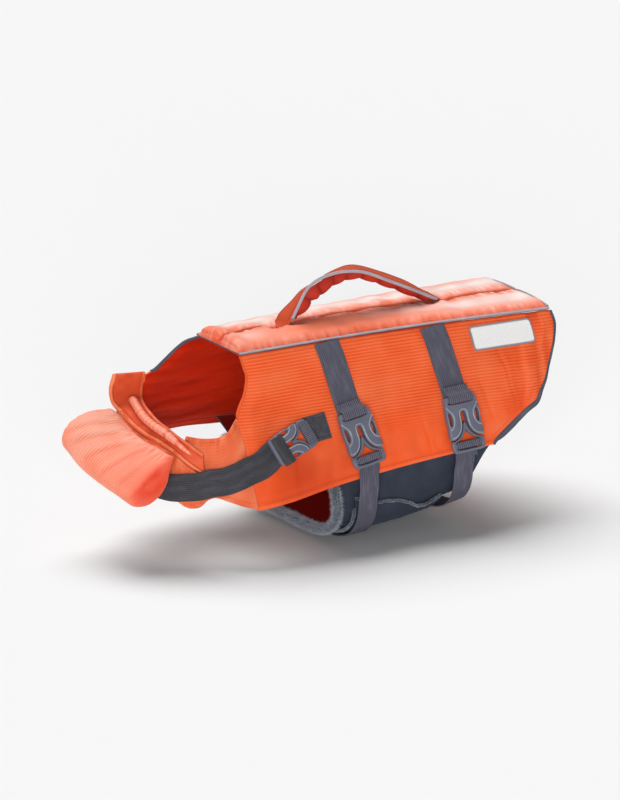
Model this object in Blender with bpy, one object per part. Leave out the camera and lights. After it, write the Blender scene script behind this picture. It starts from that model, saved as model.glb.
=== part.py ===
"""Dog life jacket, medium, filled out as it is worn, with nobody in it.

Lengths are millimetres in the garment's own frame: X runs from the neck edge of the back (0) to
the tail edge, Y is negative on the dog's left, and Z is up from the front ends of the pipings.
`place` moves a point from there into the part's frame in metres, whose origin is under the
middle of the back, where the wearer's back carries the jacket.
"""
import math

import bmesh
import bpy
from mathutils import Vector

METRES = 0.001
LEFT, RIGHT = -1, 1

# Seams and rests
SEAM_GAP = 0.3
LAY_GAP = 0.5            # between a panel and what lies on it

# Back float panel
BACK_LENGTH = 314.0
BACK_HALF_FRONT = 36.8
BACK_HALF_REAR = 56.0
PIPING_RADIUS = 1.6
PIPING_RISE = 2.3
GROOVE_WALL = 4.0
EDGE_WALL = 2.2
ORIGIN_X = BACK_LENGTH / 2
ORIGIN_Z = 4.0

# Side panels
UPPER_FLARE = math.radians(28.5)
FLARE_BEND_DEPTH = 60.0
FLARE_BEND_SOFTNESS = 14.0
SIDE_SEAM_WALL = 2.6
SIDE_FOAM_WALL = 7.4
SIDE_PUFF = 2.2
SEAM_PULL = 13.0         # how far in from a seam the foam reaches its full height

# Webbing
WEBBING_WIDTH = 25.0
LOWER_WEBBING_WIDTH = 20.0
WEBBING_WALL = 1.5

# Handle
HANDLE_WIDTH = 21.0
HANDLE_WALL = 2.0
SLEEVE_SCALLOPS = 9

# Belly
BELLY_WALL = 2.4
BELLY_SQUARENESS = 4.0   # exponent of the belly's boxy U section
PAD_WALL = 5.0
FLEECE_RADIUS = 4.2

COLOURS = {
    # material: (red, green, blue, roughness)
    "coral_nylon": (0.90, 0.27, 0.16, 0.70),
    "orange_ripstop": (0.86, 0.15, 0.04, 0.62),
    "grey_binding": (0.25, 0.26, 0.31, 0.75),
    "belt_webbing": (0.10, 0.10, 0.13, 0.80),
    "dark_webbing": (0.045, 0.045, 0.055, 0.80),
    "buckle_plastic": (0.16, 0.20, 0.24, 0.35),
    "slate_neoprene": (0.045, 0.065, 0.10, 0.85),
    "grey_fleece": (0.33, 0.36, 0.42, 0.95),
    "label_white": (0.88, 0.88, 0.86, 0.60),
}

# Half the back's rise: X, height of the spine groove, rise of the channels above the groove
GROOVE = ((-2, 2.6), (20, 5.2), (41, 6.7), (86, 7.5), (135, 8.4), (196, 7.0), (237, 5.2), (276, 5.0),
          (314, 2.8))
CHANNEL_RISE = ((-2, 6.6), (20, 6.4), (53, 5.2), (98, 4.8), (147, 3.6), (249, 3.6), (314, 3.2))
LOWER_FLARE = ((-20, 22), (0, 24), (50, 25), (84, 25), (192, 20.5), (228, 19), (314, 15))

# Outlines of the side panels, seen from the side: X, Z
LEFT_NECK = ((-1.8, -2.2), (-1.4, -10), (-0.5, -18), (-3.3, -25.5), (-8, -34), (-14.8, -42.5),
             (-19.5, -50), (-19.3, -66), (-18.3, -81), (-17.6, -105), (-17.5, -128.5))
LEFT_HEM = ((-17.5, -128.5), (16.6, -124.4), (52, -118.3), (83, -114.2), (104, -112.3), (145, -109),
            (185, -106.6), (218, -105.2), (228, -104.6))
LEFT_TAIL = ((314.5, -2.2), (316, -12), (312, -23), (304.6, -36.4), (295.4, -52), (285.9, -64.7),
             (279.8, -72.6), (269.3, -78), (235, -98), (228, -104.6))
RIGHT_NECK = ((-1.8, -2.2), (-16, -5.5), (-28, -15.5), (-32.5, -21.5), (-41, -30), (-49, -33),
              (-51, -44), (-49.5, -62), (-45, -84), (-40, -102))
RIGHT_HEM = ((-40, -102), (7, -101), (49, -105.2), (100, -110.5), (145, -110), (203, -108.5),
             (228, -106))
RIGHT_TAIL = ((314.5, -2.2), (316, -12), (312, -23), (304.6, -36.4), (295.4, -52), (285.9, -64.7),
              (279.8, -72.6), (269.3, -79), (235, -99), (228, -106))

# Creases pressed into the side foam, seen from the side:
# X, Z of the middle, half length, half width, degrees from level, depth (negative stands proud)
LEFT_FOLDS = ((296, -38, 34, 5, 96, 1.5), (281, -52, 30, 6, 98, -1.3), (262, -62, 34, 6, 95, 1.2),
              (243, -74, 26, 6, 84, -1.1), (226, -58, 30, 7, 88, 0.9), (150, -96, 15, 7, 70, 1.5),
              (176, -92, 14, 6, 62, -1.0), (60, -104, 16, 7, 72, 1.6), (34, -108, 18, 6, 66, -1.0),
              (12, -60, 30, 8, 35, 1.2), (4, -38, 16, 5, 24, -1.0), (128, -60, 32, 9, 86, 1.0),
              (120, -84, 22, 6, 80, -0.8), (-8, -100, 24, 5, 82, 1.3))
RIGHT_FOLDS = ((290, -42, 32, 6, 96, 1.4), (268, -58, 34, 6, 94, 1.3), (236, -70, 26, 7, 86, 1.0),
               (152, -92, 18, 7, 72, 1.4), (58, -96, 18, 7, 68, 1.5), (18, -52, 30, 8, 30, 1.2),
               (-20, -38, 18, 6, 14, 1.2), (-12, -64, 26, 6, 10, 1.0))


# ---------------------------------------------------------------- curves and tables

def clamp(value, low=0.0, high=1.0):
    return max(low, min(high, value))


def mix(a, b, t):
    return a + (b - a) * t


def ease(t):
    t = clamp(t)
    return t * t * (3 - 2 * t)


def read(table, x, column=1):
    """Reads a table's column at x, along a smooth curve through its rows."""
    if x <= table[0][0]:
        return table[0][column]
    if x >= table[-1][0]:
        return table[-1][column]
    k = next(i for i in range(len(table) - 1) if x <= table[i + 1][0])
    first, last = max(k - 1, 0), min(k + 2, len(table) - 1)
    (x0, y0), (x1, y1) = ((table[i][0], table[i][column]) for i in (k, k + 1))
    slope0 = (y1 - table[first][column]) / (x1 - table[first][0])
    slope1 = (table[last][column] - y0) / (table[last][0] - x0)
    h, t = x1 - x0, (x - x0) / (x1 - x0)
    return ((2 * t ** 3 - 3 * t ** 2 + 1) * y0 + (t ** 3 - 2 * t ** 2 + t) * h * slope0
            + (3 * t ** 2 - 2 * t ** 3) * y1 + (t ** 3 - t ** 2) * h * slope1)


def path(points):
    """Returns the function of 0 to 1 that runs along a smooth curve through the points."""
    points = [Vector(p) for p in points]
    at = [0.0]
    for a, b in zip(points, points[1:]):
        at.append(at[-1] + (b - a).length)

    def curve(t):
        s = clamp(t) * at[-1]
        k = next((i for i in range(len(at) - 2) if s <= at[i + 1]), len(at) - 2)
        first, last = max(k - 1, 0), min(k + 2, len(at) - 1)
        slope0 = (points[k + 1] - points[first]) / (at[k + 1] - at[first])
        slope1 = (points[last] - points[k]) / (at[last] - at[k])
        h = at[k + 1] - at[k]
        q = (s - at[k]) / h
        return (points[k] * (2 * q ** 3 - 3 * q ** 2 + 1) + slope0 * h * (q ** 3 - 2 * q ** 2 + q)
                + points[k + 1] * (3 * q ** 2 - 2 * q ** 3) + slope1 * h * (q ** 3 - q ** 2))

    return curve


def flat_path(rows):
    """A path through X, Z rows, in the plane Y = 0."""
    return path([(x, 0, z) for x, z in rows])


def patch(top, hem, front, rear):
    """A Coons patch: u runs front to rear, v runs top to hem."""
    a, b, c, d = top(0), top(1), hem(0), hem(1)

    def at(u, v):
        rails = top(u) * (1 - v) + hem(u) * v + front(v) * (1 - u) + rear(v) * u
        return rails - (a * (1 - u) * (1 - v) + b * u * (1 - v) + c * (1 - u) * v + d * u * v)

    return at


def steps(count):
    return [i / count for i in range(count + 1)]


# ---------------------------------------------------------------- solids

def place(point):
    """Moves a garment point in millimetres into the part's frame in metres."""
    x, y, z = point
    return Vector((x - ORIGIN_X, y, z - ORIGIN_Z)) * METRES


def material(name):
    found = bpy.data.materials.get(name)
    if found:
        return found
    red, green, blue, roughness = COLOURS[name]
    made = bpy.data.materials.new(name)
    made.use_nodes = True
    shader = made.node_tree.nodes["Principled BSDF"]
    shader.inputs["Base Color"].default_value = (red, green, blue, 1)
    shader.inputs["Roughness"].default_value = roughness
    shader.inputs["Metallic"].default_value = 0
    made.diffuse_color = (red, green, blue, 1)
    return made


def solid(name, points, faces, finish):
    """Adds one closed solid made of garment points and faces, with its faces turned outwards."""
    mesh = bpy.data.meshes.new(name)
    mesh.from_pydata([place(p) for p in points], [], faces)
    body = bmesh.new()
    body.from_mesh(mesh)
    bmesh.ops.recalc_face_normals(body, faces=body.faces)
    if body.calc_volume(signed=True) < 0:
        bmesh.ops.reverse_faces(body, faces=body.faces)
    body.to_mesh(mesh)
    body.free()
    mesh.shade_smooth()
    mesh.set_sharp_from_angle(angle=math.radians(40))
    mesh.materials.append(material(finish))
    made = bpy.data.objects.new(name, mesh)
    bpy.data.collections["dog_life_jacket"].objects.link(made)
    return made


def wall(name, outer, inner, finish):
    """A cloth wall between two grids of points, each a list of rows."""
    rows, columns = len(outer), len(outer[0])
    points = [p for row in outer for p in row] + [p for row in inner for p in row]
    back = rows * columns

    def at(i, j, side=0):
        return side * back + i * columns + j

    faces = []
    for i in range(rows - 1):
        for j in range(columns - 1):
            faces.append((at(i, j), at(i, j + 1), at(i + 1, j + 1), at(i + 1, j)))
            faces.append((at(i, j, 1), at(i + 1, j, 1), at(i + 1, j + 1, 1), at(i, j + 1, 1)))
    for j in range(columns - 1):
        for i in (0, rows - 1):
            faces.append((at(i, j), at(i, j, 1), at(i, j + 1, 1), at(i, j + 1)))
    for i in range(rows - 1):
        for j in (0, columns - 1):
            faces.append((at(i, j), at(i + 1, j), at(i + 1, j, 1), at(i, j, 1)))
    return solid(name, points, faces, finish)


def ring_loft(name, rings, finish):
    """A solid lofted through closed rings of equal count, with flat ends."""
    count = len(rings[0])
    points = [p for ring in rings for p in ring]
    faces = []
    for i in range(len(rings) - 1):
        for j in range(count):
            k = (j + 1) % count
            faces.append((i * count + j, i * count + k, (i + 1) * count + k, (i + 1) * count + j))
    faces.append(tuple(range(count)))
    faces.append(tuple((len(rings) - 1) * count + j for j in range(count)))
    return solid(name, points, faces, finish)


def frames(points, up):
    """Tangent, side and up directions at each point of a line; up is a hint for each point."""
    made = []
    for i, point in enumerate(points):
        ahead = points[min(i + 1, len(points) - 1)] - points[max(i - 1, 0)]
        ahead.normalize()
        hint = up[i] if isinstance(up, list) else Vector(up)
        side = ahead.cross(hint).normalized()
        made.append((ahead, side, side.cross(ahead)))
    return made


def tube(name, points, half_side, half_up, up, finish, sides=8):
    """A round or oval cord through the points."""
    points = [Vector(p) for p in points]
    rings = []
    for point, (_, side, lift) in zip(points, frames(points, up)):
        turns = [2 * math.pi * (k + 0.5) / sides for k in range(sides)]
        rings.append([point + side * math.cos(a) * half_side + lift * math.sin(a) * half_up
                      for a in turns])
    return ring_loft(name, rings, finish)


def normals(grid):
    """The direction across a grid of points, at each point."""
    rows, columns = len(grid), len(grid[0])
    made = []
    for i in range(rows):
        row = []
        for j in range(columns):
            along = grid[min(i + 1, rows - 1)][j] - grid[max(i - 1, 0)][j]
            across = grid[i][min(j + 1, columns - 1)] - grid[i][max(j - 1, 0)]
            row.append(along.cross(across).normalized())
        made.append(row)
    return made


def moved(grid, distance, toward):
    """A grid moved along its own normals, on the side where the point `toward` isn't."""
    made = []
    for row, directions in zip(grid, normals(grid)):
        line = []
        for point, direction in zip(row, directions):
            outward = direction if direction.dot(point - toward(point)) > 0 else -direction
            line.append(point + outward * distance)
        made.append(line)
    return made


# ---------------------------------------------------------------- the body's surfaces

def back_half(x):
    return mix(BACK_HALF_FRONT, BACK_HALF_REAR, x / BACK_LENGTH)


def piping_height(x):
    return PIPING_RISE * math.sin(math.pi * clamp(x / BACK_LENGTH))


def side_reach(x, z, side):
    """Distance of the plain side from the centre plane, where the seams hold it."""
    depth = max(piping_height(x) - z, 0)
    upper = math.tan(UPPER_FLARE)
    lower = math.tan(math.radians(read(LOWER_FLARE, x)))

    def ramp(d):
        return (d + math.hypot(d, FLARE_BEND_SOFTNESS)) / 2

    bend = ramp(depth - FLARE_BEND_DEPTH) - ramp(-FLARE_BEND_DEPTH)
    reach = back_half(x) + upper * depth + (lower - upper) * bend
    ahead = max(-15 - x, 0) / 32
    turn_in = (0.21 * depth - 2) * (1 if side == LEFT else 0.35)
    return reach - ahead ** 2 * max(turn_in, 0)


def outline_x(rows, z):
    """X of a side outline at height z."""
    return read(tuple((row_z, row_x) for row_x, row_z in reversed(rows)), z)


SIDES = {
    # side: neck edge, hem, tail edge, folds
    LEFT: (LEFT_NECK, LEFT_HEM, LEFT_TAIL, LEFT_FOLDS),
    RIGHT: (RIGHT_NECK, RIGHT_HEM, RIGHT_TAIL, RIGHT_FOLDS),
}


def seam_factor(x, z, side):
    """0 at the side panel's seams, 1 where its foam is full."""
    neck, hem, tail, _ = SIDES[side]
    inside = min(piping_height(x) - 2 - z, z - read(hem, x),
                 x - outline_x(neck, z), (outline_x(tail, z) - x) * 0.8)
    return ease(inside / SEAM_PULL)


def fold_depth(x, z, folds):
    total = 0
    for fold_x, fold_z, half_length, half_width, degrees, depth in folds:
        turn = math.radians(degrees)
        along = (x - fold_x) * math.cos(turn) + (z - fold_z) * math.sin(turn)
        across = (z - fold_z) * math.cos(turn) - (x - fold_x) * math.sin(turn)
        reach = (along / half_length) ** 2 + (across / half_width) ** 2
        total += depth * math.exp(-1.6 * reach)
    return total


def side_outer(x, z, side):
    """Distance of the side panel's outer face from the centre plane."""
    full = seam_factor(x, z, side)
    return side_reach(x, z, side) + full * (SIDE_PUFF - fold_depth(x, z, SIDES[side][3]))


def side_inner(x, z, side):
    full = seam_factor(x, z, side)
    return side_reach(x, z, side) - mix(SIDE_SEAM_WALL, SIDE_FOAM_WALL - SIDE_PUFF, full)


def on_side(x, z, side, lift=0.0):
    """A point on the side panel's outer face, or lifted off it."""
    point = Vector((x, side * side_outer(x, z, side), z))
    if not lift:
        return point
    nudge = 1.5
    slope_x = (side_outer(x + nudge, z, side) - side_outer(x - nudge, z, side)) / (2 * nudge)
    slope_z = (side_outer(x, z + nudge, side) - side_outer(x, z - nudge, side)) / (2 * nudge)
    return point + Vector((-slope_x, side, -slope_z)).normalized() * lift


def back_top(x, y):
    """Height of the back panel's upper face: two channels beside a groove."""
    half = back_half(x) - PIPING_RADIUS - SEAM_GAP
    across = clamp(abs(y) / half)
    groove = read(GROOVE, x)
    edge = piping_height(x) + 0.6
    plain = mix(groove, edge, across ** 2.2)
    rise = read(CHANNEL_RISE, x)
    ends = ease((x + 2) / 6) * ease((BACK_LENGTH - x) / 8)
    swell = math.sin(math.pi * clamp(across) ** 0.72) ** 0.75
    ripple = 0.5 * math.sin(x * 0.21 + (2 if y > 0 else 0)) * swell
    held = 0
    for foot in (HANDLE_PATH[1][0], HANDLE_PATH[-2][0]):
        held = max(held, ease(1.9 - abs(x - foot) / 11) * ease(2.2 - abs(y) / 9))
    return plain + mix(0.35, 1, ends) * (rise * swell + ripple) * (1 - 0.92 * held)


def back_under(x, y):
    half = back_half(x) - PIPING_RADIUS - SEAM_GAP
    across = clamp(abs(y) / half)
    edge = piping_height(x) - EDGE_WALL + 0.6
    return mix(read(GROOVE, x) - GROOVE_WALL, edge, across ** 2)


# The handle's centre line: X, Z of the webbing's underside
HANDLE_PATH = ((59.5, 8.9), (62.6, 9.5), (66.5, 11.5), (75.6, 25.5), (85, 39.8), (95.8, 46.5),
               (109.4, 49.7), (122.8, 50.6), (143, 47.6), (170.2, 35.6), (197, 22.8), (219, 11.8),
               (226, 9.6), (233.3, 8.7))
# ---------------------------------------------------------------- cloth pieces

def build_back_panel():
    columns = (-1, -0.9, -0.74, -0.56, -0.38, -0.2, -0.07, 0, 0.07, 0.2, 0.38, 0.56, 0.74, 0.9, 1)
    stations = [-2, 0.5, 4, 10] + [mix(20, 300, t) for t in steps(20)] + [307, 311.5, 314]
    outer, inner = [], []
    for x in stations:
        half = back_half(x) - PIPING_RADIUS - SEAM_GAP
        outer.append([Vector((x, c * half, back_top(x, c * half))) for c in columns])
        inner.append([Vector((x, c * half, back_under(x, c * half))) for c in columns])
    wall("back_panel", outer, inner, "coral_nylon")


def side_grid(side, across, down):
    """The side panel's X, Z places as a grid from the piping to the hem."""
    neck, hem, tail, _ = SIDES[side]
    top = path([(x, 0, piping_height(x) - PIPING_RADIUS - SEAM_GAP)
                for x in (neck[0][0], 40, 110, 200, 270, tail[0][0])])
    at = patch(top, flat_path(hem), flat_path(neck), flat_path(tail))
    return [[at(u, v) for v in steps(down)] for u in steps(across)]


def build_side_panel(side, name):
    grid = side_grid(side, across=24, down=11)
    outer = [[Vector((p.x, side * side_outer(p.x, p.z, side), p.z)) for p in row] for row in grid]
    inner = [[Vector((p.x, side * side_inner(p.x, p.z, side), p.z)) for p in row] for row in grid]
    wall(name, outer, inner, "orange_ripstop")
    return outer, inner


def build_pipings():
    for side, name in ((LEFT, "piping_left"), (RIGHT, "piping_right")):
        line = [(x, side * back_half(x), piping_height(x))
                for x in [mix(-2, BACK_LENGTH + 1, t) for t in steps(14)]]
        tube(name, line, PIPING_RADIUS, PIPING_RADIUS, (0, 0, 1), "grey_binding", sides=6)


def build_edge_binding(name, outer, inner, within, width, finish="grey_binding", tip=0.55):
    """A tape along a wall's raw edge. The edge is a line of outer and one of inner points, and
    `within` is the next line of the wall's outer points, one step in from the edge. Its width
    is a number or a table by Z."""
    rings = []
    last = len(outer) - 1
    for i, (face, back, further) in enumerate(zip(outer, inner, within)):
        along = (outer[min(i + 1, last)] - outer[max(i - 1, 0)]).normalized()
        through = face - back
        away = along.cross(through).normalized()
        if away.dot(face - further) < 0:
            away = -away
        near_face = face + away * LAY_GAP
        near_back = back + away * LAY_GAP
        middle = (near_face + near_back) / 2
        far = middle + away * (read(width, face.z) if isinstance(width, tuple) else width)
        rings.append([near_face + through * 0.12, far + through * tip / 2, far - through * tip / 2,
                      near_back - through * 0.12])
    ring_loft(name, rings, finish)


# Width of the tail bindings: Z, width
TAIL_BINDING = ((-104, 2.6), (-94, 6.0), (-76, 5.2), (-66, 4.0), (-52, 2.8), (-2, 2.4))


def edge(panel, row=None, column=None):
    """Outer, inner and next points along one edge of a panel's grids."""
    outer, inner = panel
    if row is not None:
        nearer = 1 if row == 0 else -2
        return list(outer[row]), list(inner[row]), list(outer[nearer])
    nearer = 1 if column == 0 else -2
    return ([line[column] for line in outer], [line[column] for line in inner],
            [line[nearer] for line in outer])


# Outline of the left chest flap, from the side panel's front crease round to the chest: X, Y, Z
FLAP_TOP = ((-21.2, -63.2, -51), (-27, -66, -56), (-33, -67, -61.5), (-40, -64, -65.5),
            (-46, -57, -67.5), (-51, -47, -69), (-56, -33, -69.5))
FLAP_HEM = ((-18.6, -95.2, -128.6), (-30.5, -89.5, -124), (-40.7, -80, -120), (-47.6, -70.5, -118.4),
            (-51.3, -62.5, -122), (-55.5, -55, -130), (-62.5, -47, -131.5), (-69.5, -42.5, -126))
FLAP_FRONT = ((-56, -33, -69.5), (-63.5, -36, -85), (-67.5, -39, -103), (-69.5, -42.5, -126))
FLAP_WALL = 2.2


def body_middle(point):
    """A point inside the hollow of the jacket, level with the given one."""
    return Vector((min(max(point.x, -45), 330), 0, min(point.z, -20)))


def build_chest_flap(side_panel):
    crease = [Vector((p.x - LAY_GAP * 1.6, p.y, p.z)) for p in side_panel[0][0][4:]]
    crease[0] = Vector(FLAP_TOP[0])
    rear = path(crease)
    top = path([rear(0)] + list(FLAP_TOP[1:]))
    hem = path([rear(1)] + list(FLAP_HEM[1:]))
    at = patch(top, hem, rear, path(FLAP_FRONT))
    outer = [[at(u, v) for v in steps(8)] for u in steps(11)]
    inner = moved(outer, -FLAP_WALL, body_middle)
    wall("chest_flap_left", outer, inner, "orange_ripstop")
    return outer, inner


# ---------------------------------------------------------------- neck and chest

# The neck cradle, from the tip of its right flap down under the throat to its left end.
# Each row: rear edge X, Y, Z, then front edge X, Y, Z
CRADLE = ((-50.6, 47.5, -32.0, -82.6, 47.5, -28.6), (-51.2, 50.5, -43.0, -86.0, 48.0, -42.0),
          (-54.4, 46.5, -52.0, -85.6, 45.5, -52.5), (-59.5, 34.0, -55.0, -83.5, 36.0, -58.5),
          (-63.5, 16.0, -58.5, -81.0, 18.0, -67.5), (-65.5, 0.0, -61.5, -79.0, 0.0, -72.0),
          (-65.5, -20.0, -64.5, -77.0, -22.0, -74.4), (-64.5, -38.0, -68.5, -74.0, -42.0, -78.5),
          (-60.5, -49.5, -73.5, -65.5, -54.0, -88.5), (-53.6, -57.5, -80.0, -54.8, -63.0, -98.0))
CRADLE_WALL = 3.6
THROAT_ROLL_ACROSS = 0.42        # where the roll lies across the cradle
THROAT_ROLL_HALF_WIDTH = 4.4
THROAT_ROLL_HALF_HEIGHT = 3.2
THROAT_GATHERS = 14

# The chest panel under the cradle, from its free left end round to the right side panel.
# Each row: top X, Y, Z, then hem X, Y, Z
CHEST = ((-55.0, -63.4, -100.6, -55.0, -66.5, -116.0), (-65.0, -55.5, -92.5, -64.0, -58.5, -117.5),
         (-74.5, -44.0, -82.8, -73.5, -47.0, -119.0), (-79.5, -23.0, -78.6, -82.0, -25.5, -120.0),
         (-81.0, 0.0, -76.6, -85.0, 0.0, -119.0), (-82.8, 19.0, -72.2, -84.0, 24.0, -117.0),
         (-84.2, 36.5, -63.2, -79.0, 46.0, -113.5), (-78.5, 50.0, -58.2, -67.0, 64.0, -109.0),
         (-65.5, 57.0, -57.6, -54.5, 73.5, -105.0))
CHEST_WALL = 3.0

# The chin float: its seam along the chest panel's top edge, from left to right: X, Y, Z
CHIN_SEAM = ((-76.8, -50.5, -80.2), (-78.4, -42.0, -81.2), (-80.6, -23.0, -78.4), (-82.2, 0.0, -76.2),
             (-84.0, 18.5, -71.6), (-85.6, 36.0, -62.4), (-86.4, 46.5, -58.2))
# Its section ahead of the seam at the left and at the right end: X, Z, X, Z
CHIN_SECTION = ((0, 0, 0, 0), (-10, -4.3, -10, 1.8), (-22, -12.0, -23, 2.6), (-32, -20.0, -36, 0.2),
                (-39.5, -27.2, -48, -5.2), (-43.5, -34, -55, -13.5), (-41, -39.7, -55.8, -22),
                (-33, -42.7, -48.5, -29), (-24, -41.7, -37, -32), (-14.5, -36.5, -22, -31.8),
                (-8, -27.5, -11.5, -26.5), (-5, -16.5, -6, -17), (-1.6, -6.5, -1.6, -7))
CHIN_END_ROUNDING = ((0.0, 0.72, 1.2), (0.012, 0.89, 0.5), (0.035, 0.97, 0.1), (0.07, 1.0, 0.0))
CHIN_GATHERS = 10


def shifted(grid, distance):
    """A grid moved along its own directions across it."""
    return [[p + n * distance for p, n in zip(row, line)] for row, line in zip(grid, normals(grid))]


def cradle_grid(along, across):
    """The cradle's face that touches the neck, from the right flap to the left end."""
    rear = path([row[:3] for row in CRADLE])
    front = path([row[3:] for row in CRADLE])
    grid = []
    for t in steps(along):
        a, b = rear(t), front(t)
        grid.append([a.lerp(b, s) for s in steps(across)])
    return grid


def build_collar_strip():
    face = cradle_grid(24, 3)
    back = shifted(face, CRADLE_WALL)
    wall("collar_strip", face, back, "orange_ripstop")
    return face


def build_throat_roll():
    rear = path([row[:3] for row in CRADLE])
    front = path([row[3:] for row in CRADLE])
    rings = []
    count = 2 * THROAT_GATHERS
    line, lifts = [], []
    for t in [mix(0.21, 0.85, s) for s in steps(count)]:
        near = (rear(t + 0.01) - rear(t - 0.01)).normalized()
        across = front(t) - rear(t)
        line.append(rear(t) + across * THROAT_ROLL_ACROSS)
        lifts.append(across.cross(near).normalized())
    for i, (point, (_, side, lift)) in enumerate(zip(line, frames(line, lifts))):
        end = clamp(min(i, count - i) / 2)
        size = math.sqrt(mix(0.25, 1, end)) * (1.03 if i % 2 else 0.97)
        centre = point + lift * (LAY_GAP + THROAT_ROLL_HALF_HEIGHT * 1.1)
        turns = [2 * math.pi * (k + 0.5) / 7 for k in range(7)]
        rings.append([centre + side * math.cos(a) * THROAT_ROLL_HALF_WIDTH * size
                      + lift * math.sin(a) * THROAT_ROLL_HALF_HEIGHT * size for a in turns])
    ring_loft("throat_roll", rings, "coral_nylon")


def build_chest_panel(right_panel):
    seam = [Vector((p.x - 2.6 * LAY_GAP, p.y, p.z)) for p in right_panel[0][0] if p.z < -57]
    right = path(seam)
    top = path([row[:3] for row in CHEST] + [right(0)])
    hem = path([row[3:] for row in CHEST] + [right(1)])
    left = path([CHEST[0][:3], CHEST[0][3:]])
    at = patch(top, hem, left, right)
    outer = [[at(u, v) for v in steps(5)] for u in steps(22)]
    inner = moved(outer, -CHEST_WALL, body_middle)
    wall("chest_panel", outer, inner, "orange_ripstop")
    return outer, inner


def build_chin_float():
    seam = path(CHIN_SEAM)
    count = 4 * CHIN_GATHERS
    stations = [row[0] for row in CHIN_END_ROUNDING]
    stations = stations[:-1] + [mix(0.07, 0.93, s) for s in steps(count)] + [1 - t for t in stations[-2::-1]]
    rings = []
    for t in stations:
        nearest = min(t, 1 - t)
        ends = CHIN_END_ROUNDING
        size = read(tuple((row[0], row[1]) for row in ends), nearest)
        shift = read(tuple((row[0], row[2]) for row in ends), nearest) * (1 if t < 0.5 else -1)
        root = seam(t)
        twist = ease(t)
        section = [(mix(a, c, twist), mix(b, d, twist)) for a, b, c, d in CHIN_SECTION]
        middle_x = sum(x for x, _ in section) / len(section)
        middle_z = sum(z for _, z in section) / len(section)
        ring = []
        for k, (x, z) in enumerate(section):
            ahead = -x / 50
            wave = math.cos(2 * math.pi * CHIN_GATHERS * t) * clamp(1 - ahead * 0.8)
            wave *= 0.55 if 0 < k < 6 else 0
            sway = 0.8 * math.sin(9 * t + 4 * ahead) if 0 < k < 9 else 0
            ring.append(Vector((root.x + mix(middle_x, x, size), root.y + shift * size,
                                root.z + mix(middle_z, z, size) + (wave + sway) * size)))
        rings.append(ring)
    ring_loft("chin_float", rings, "coral_nylon")


# ---------------------------------------------------------------- belly

# The belly panel from its front edge to its rear edge:
# place along it (0 to 1), X at the left hem, X at the right hem, X at the bottom, Z of the bottom
BELLY = ((0.0, 66, 45, 76, -174), (0.25, 108, 93, 108, -172.5), (0.5, 151, 141, 141, -170),
         (0.75, 194, 189, 174, -165), (1.0, 237, 237, 206, -158))
BELLY_TUCK = 8.0             # how far the panel reaches up inside the side panels' hems
BELLY_CLEARANCE = 1.6
# The pad's free edges: place along the belly, distance down from the panel's top edge
PAD_LEFT = ((0.09, 30), (0.25, 39), (0.4, 43), (0.55, 53), (0.67, 63), (0.79, 55))
PAD_RIGHT = ((0.09, 26), (0.45, 34), (0.79, 30))
PAD_BINDING_RADIUS = 2.5
PAD_REST = 1.0               # between the panel and the pad


def belly_section(along):
    """The panel's outer line at one place along it, from the left hem to the right hem."""
    left_x, right_x, bottom_x, bottom = (read(BELLY, along, column) for column in (1, 2, 3, 4))
    points = []
    count = 48
    power = 2 / BELLY_SQUARENESS
    for k in range(count + 1):
        turn = math.pi * k / count
        side, hem_x = (LEFT, left_x) if k * 2 <= count else (RIGHT, right_x)
        top = read(SIDES[side][1], hem_x) + BELLY_TUCK
        reach = side_inner(hem_x, top, side) - BELLY_CLEARANCE
        down = math.sin(turn) ** power if 0 < k < count else 0
        out = abs(math.cos(turn)) ** power
        x = mix(hem_x, bottom_x, 1 - (1 - down) ** 2)
        points.append((x, side * reach * out, mix(top, bottom, down)))
    return path(points)


def belly_place(x, around):
    """The place along the belly panel where a line around it crosses X."""
    low, high = 0.0, 1.0
    for _ in range(12):
        middle = (low + high) / 2
        if belly_section(middle)(around).x < x:
            low = middle
        else:
            high = middle
    return (low + high) / 2


def belly_length(along):
    line = belly_section(along)
    points = [line(t) for t in steps(60)]
    return sum((b - a).length for a, b in zip(points, points[1:]))


def belly_point(along, around, lift=0.0):
    """A point of the panel's outer face, or one lifted off it; around runs left to right."""
    point = belly_section(along)(around)
    if not lift:
        return point
    nudge = 0.004
    line = belly_section(along)
    forward = belly_section(clamp(along + 0.02))(around) - belly_section(clamp(along - 0.02))(around)
    sideways = line(clamp(around + nudge)) - line(clamp(around - nudge))
    out = sideways.cross(forward).normalized()
    centre = Vector((point.x, 0, -120))
    if out.dot(point - centre) < 0:
        out = -out
    return point + out * lift


def belly_grid(alongs, arounds, lift):
    return [[belly_point(a, w, lift) for w in arounds(a)] for a in alongs]


def build_belly_panel():
    alongs = steps(10)
    arounds = steps(36)
    outer = belly_grid(alongs, lambda a: arounds, 0)
    inner = belly_grid(alongs, lambda a: arounds, -BELLY_WALL)
    wall("belly_panel", outer, inner, "slate_neoprene")
    return outer, inner


def build_fleece_edge(name, outer, inner, within, radius, sides=8):
    """A round fleece binding along a wall's raw edge; arguments as for an edge binding."""
    rings = []
    last = len(outer) - 1
    for i, (face, back, further) in enumerate(zip(outer, inner, within)):
        along = (outer[min(i + 1, last)] - outer[max(i - 1, 0)]).normalized()
        through = (face - back).normalized()
        away = along.cross(through).normalized()
        if away.dot(face - further) < 0:
            away = -away
        centre = (face + back) / 2 + away * (radius + LAY_GAP)
        turns = [2 * math.pi * (k + 0.5) / sides for k in range(sides)]
        rings.append([centre + away * math.cos(t) * radius + through * math.sin(t) * radius
                      for t in turns])
    ring_loft(name, rings, "grey_fleece")


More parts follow.
